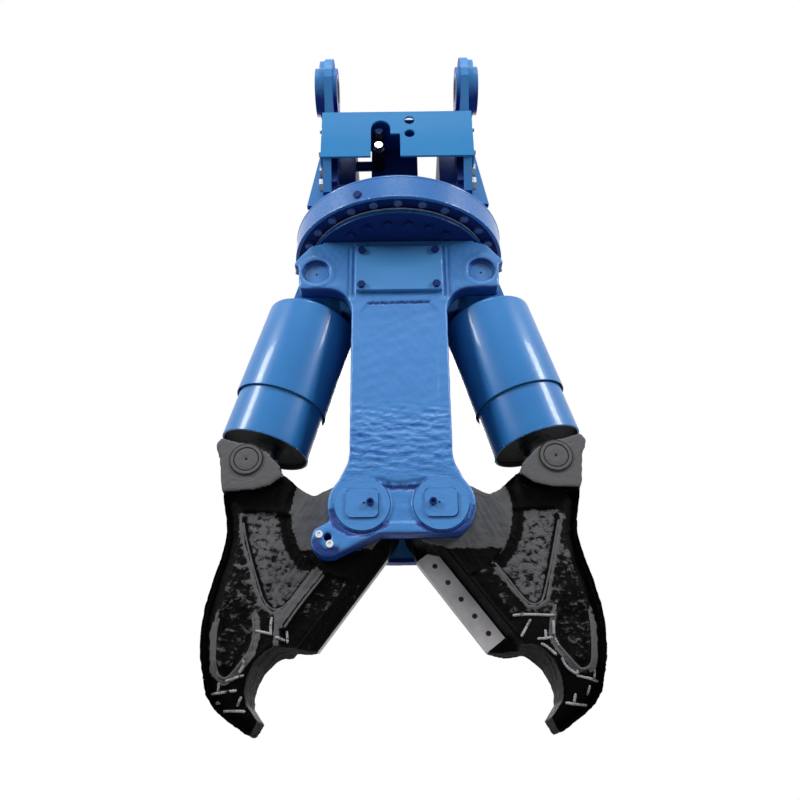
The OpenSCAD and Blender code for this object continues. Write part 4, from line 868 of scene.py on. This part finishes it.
def slabAlong(low, high, edge):
    # a rounded rectangle in Y and Z from one X to another, with flat ends
    ring = softProfile([(low[1], low[2]), (high[1], low[2]), (high[1], high[2]), (low[1], high[2])], edge, 4)
    points = np.concatenate([[[x, y, z] for y, z in ring] for x in (low[0], high[0])])
    wall = gridFaces(2, len(ring), False)
    middle = len(points)
    points = np.concatenate([points, [[low[0], *ring.mean(0)], [high[0], *ring.mean(0)]]])
    first = np.arange(len(ring))
    caps = [np.stack([first + o, np.roll(first, -1) + o, np.full(len(ring), middle + k),
                      np.full(len(ring), middle + k)], 1) for k, o in ((0, 0), (1, len(ring)))]
    return points, np.concatenate([wall] + caps)


surface = slabAlong(shelf["low"], shelf["high"], shelf["round"])
makePiece("hoseGuardShelf", surface, finish["plate"], "bracket", "blue_enamel")


def dots(name, radius, centres, face):
    # small black discs standing on a face in front, and their half turns behind, as painted shadow in small
    # holes
    section = softProfile([(0, -0.6), (radius, -0.6), (radius, 0.4), (0, 0.4)], 0.3, 3)
    front = joined([turned(section, (x, face, z), (0, -1, 0), 32) for x, z in centres])
    makePiece(name, joined([front, (front[0] * halfTurn, front[1])]), finish["shadowBlack"], "frame", "navy_enamel")


ventShift = 4.0
dots("earPinCentres", 3.2, [(ex, cheek["earZ"]) for ex in cheek["ears"]], cheek["earPinFace"])
dots("capVents", 2.6, [(p - np.sign(p) * ventShift, cheek["pivotZ"]) for p in cheek["pivots"]],
     cheek["capFace"])
print("frame ready:", len(points), "points a cheek")

# CAD nodes that keep their shape: which finish each takes, and how wide its edges are broken in millimetres
dressing = {
    "pin_bushes": ("turned", 0.6), "deck_plate": ("navy", 1.5), "bracket_bolts": ("zinc", 0.5),
    "deck_bolts": ("zinc", 0.5), "hose_guard": ("sheet", 0.9), "hose_guard_bolts": ("zinc", 0.5),
    "manifold_block": ("navy", 1.5), "port_fittings": ("hex", 0.6), "fitting_caps": ("zincBright", 0.8),
    "drain_pipe": ("navy", 0.8), "slew_motor": ("navy", 1.5), "pinion": ("turned", 0),
    "drum": ("drum", 1.8), "drum_plugs": ("navy", 0.8), "outer_race": ("navy", 0.6),
    "drum_bolts": ("glint", 0.7), "inner_race": ("turned", 0), "bearing_balls": ("chrome", 0),
    "race_bolts": ("navy", 0.5), "swivel_core": ("turned", 0.8), "front_cover": ("cover", 1.4),
    "rear_cover": ("cover", 1.4), "cover_bolts": ("navy", 0.5), "pin_caps": ("cap", 1.5),
    "cap_bolts": ("navy", 0.5), "guide_pads": ("bronze", 0.5), "guide_bolts": ("zincBright", 0.5),
}
# the same for nodes that come as _left and _right
paired = {
    "bracket_plate": ("plate", 1.6), "column": ("navy", 1.5), "main_pin": ("turned", 0.8),
    "ear_pin": ("cast", 1.2), "jaw_bush": ("bronze", 0.5), "blade": ("blade", 1.0),
    "blade_bolts": ("hex", 0.5), "rod_pin": ("black", 1.2), "barrel": ("guard", 1.0),
    "gland": ("turned", 0.8), "rod": ("chrome", 0), "piston": ("turned", 0.8),
}
for node, look in paired.items():
    dressing[node + "_left"] = dressing[node + "_right"] = look
for node, (key, width) in dressing.items():
    piece = nodes[node]
    piece.data.materials.clear()
    piece.data.materials.append(finish[key])
    if width:
        soften(piece, width)
print("CAD nodes dressed:", len(dressing))

# Camera at the photograph's place: low in front of the attachment, looking up 27 degrees, rolled by 0.7
camera = addObject("camera", bpy.data.cameras.new("camera"))
camera.data.lens, camera.data.sensor_width = 35.3, 36.0
camera.location = (-0.001, -1.570, -1.782)
camera.rotation_euler = (Euler((math.radians(117.2), 0, 0)).to_matrix().to_4x4()
                         @ Matrix.Rotation(-0.0124, 4, "Z")).to_euler()
bpy.context.scene.camera = camera


def lamp(name, where, size, power):
    # a rectangular softbox turned towards the middle of the attachment
    light = bpy.data.lights.new(name, "AREA")
    light.shape, light.energy = "RECTANGLE", power
    light.size, light.size_y = size
    made = addObject(name, light)
    made.location = where
    made.rotation_euler = (Vector(where) - Vector((0.0, 0.22, -0.85))).to_track_quat("Z", "Y").to_euler()


lamp("leftSoftbox", (-3.0, -1.5, 0.95), (0.9, 1.4), 112)
lamp("rightSoftbox", (3.0, -1.45, 0.95), (0.9, 1.4), 106)
lamp("topSoftbox", (0.0, -1.7, 2.1), (1.2, 0.8), 38)
lamp("backSoftbox", (0.0, 3.6, 0.5), (1.8, 1.4), 70)

world = bpy.data.worlds.new("studio")
world.use_nodes = True
tree = world.node_tree
tree.nodes.clear()
ray = addNode(tree, "LightPath")
seen = addNode(tree, "Math", {"operation": "MAXIMUM"}, i0=ray.outputs["Is Camera Ray"],
               i1=ray.outputs["Is Glossy Ray"])
seen = addNode(tree, "Math", {"operation": "MAXIMUM"}, i0=seen.outputs[0],
               i1=ray.outputs["Is Transmission Ray"])
dim = addNode(tree, "Background", Color=(0.9, 0.95, 1.0, 1.0), Strength=0.07)
white = addNode(tree, "Background", Color=(1.0, 1.0, 1.0, 1.0), Strength=1.0)
# white for the camera and in reflections, dim as a light
both = addNode(tree, "MixShader", i0=seen.outputs[0], i1=dim.outputs[0], i2=white.outputs[0])
addNode(tree, "OutputWorld", Surface=both.outputs[0])
bpy.context.scene.world = world

floorMesh = bpy.data.meshes.new("floor")
floorMesh.from_pydata([(-9, -9, -2.5), (9, -9, -2.5), (9, 9, -2.5), (-9, 9, -2.5)], [], [(0, 1, 2, 3)])
floor = addObject("floor", floorMesh)
floorMaterial, tree, here = startMaterial("paleFloor")
speck = addNode(tree, "TexNoise", Vector=here, Scale=perMetre(60), Detail=4.0)
tint = addNode(tree, "Mix", {"data_type": "RGBA"}, Factor=speck.outputs["Fac"], i6=colour("#B4B6B8"),
               i7=colour("#A8AAAC"))
endMaterial(tree, addNode(tree, "BsdfPrincipled", Base_Color=tint.outputs[2], Roughness=0.8))
floorMesh.materials.append(floorMaterial)
bpy.context.scene.view_settings.view_transform = "Standard"
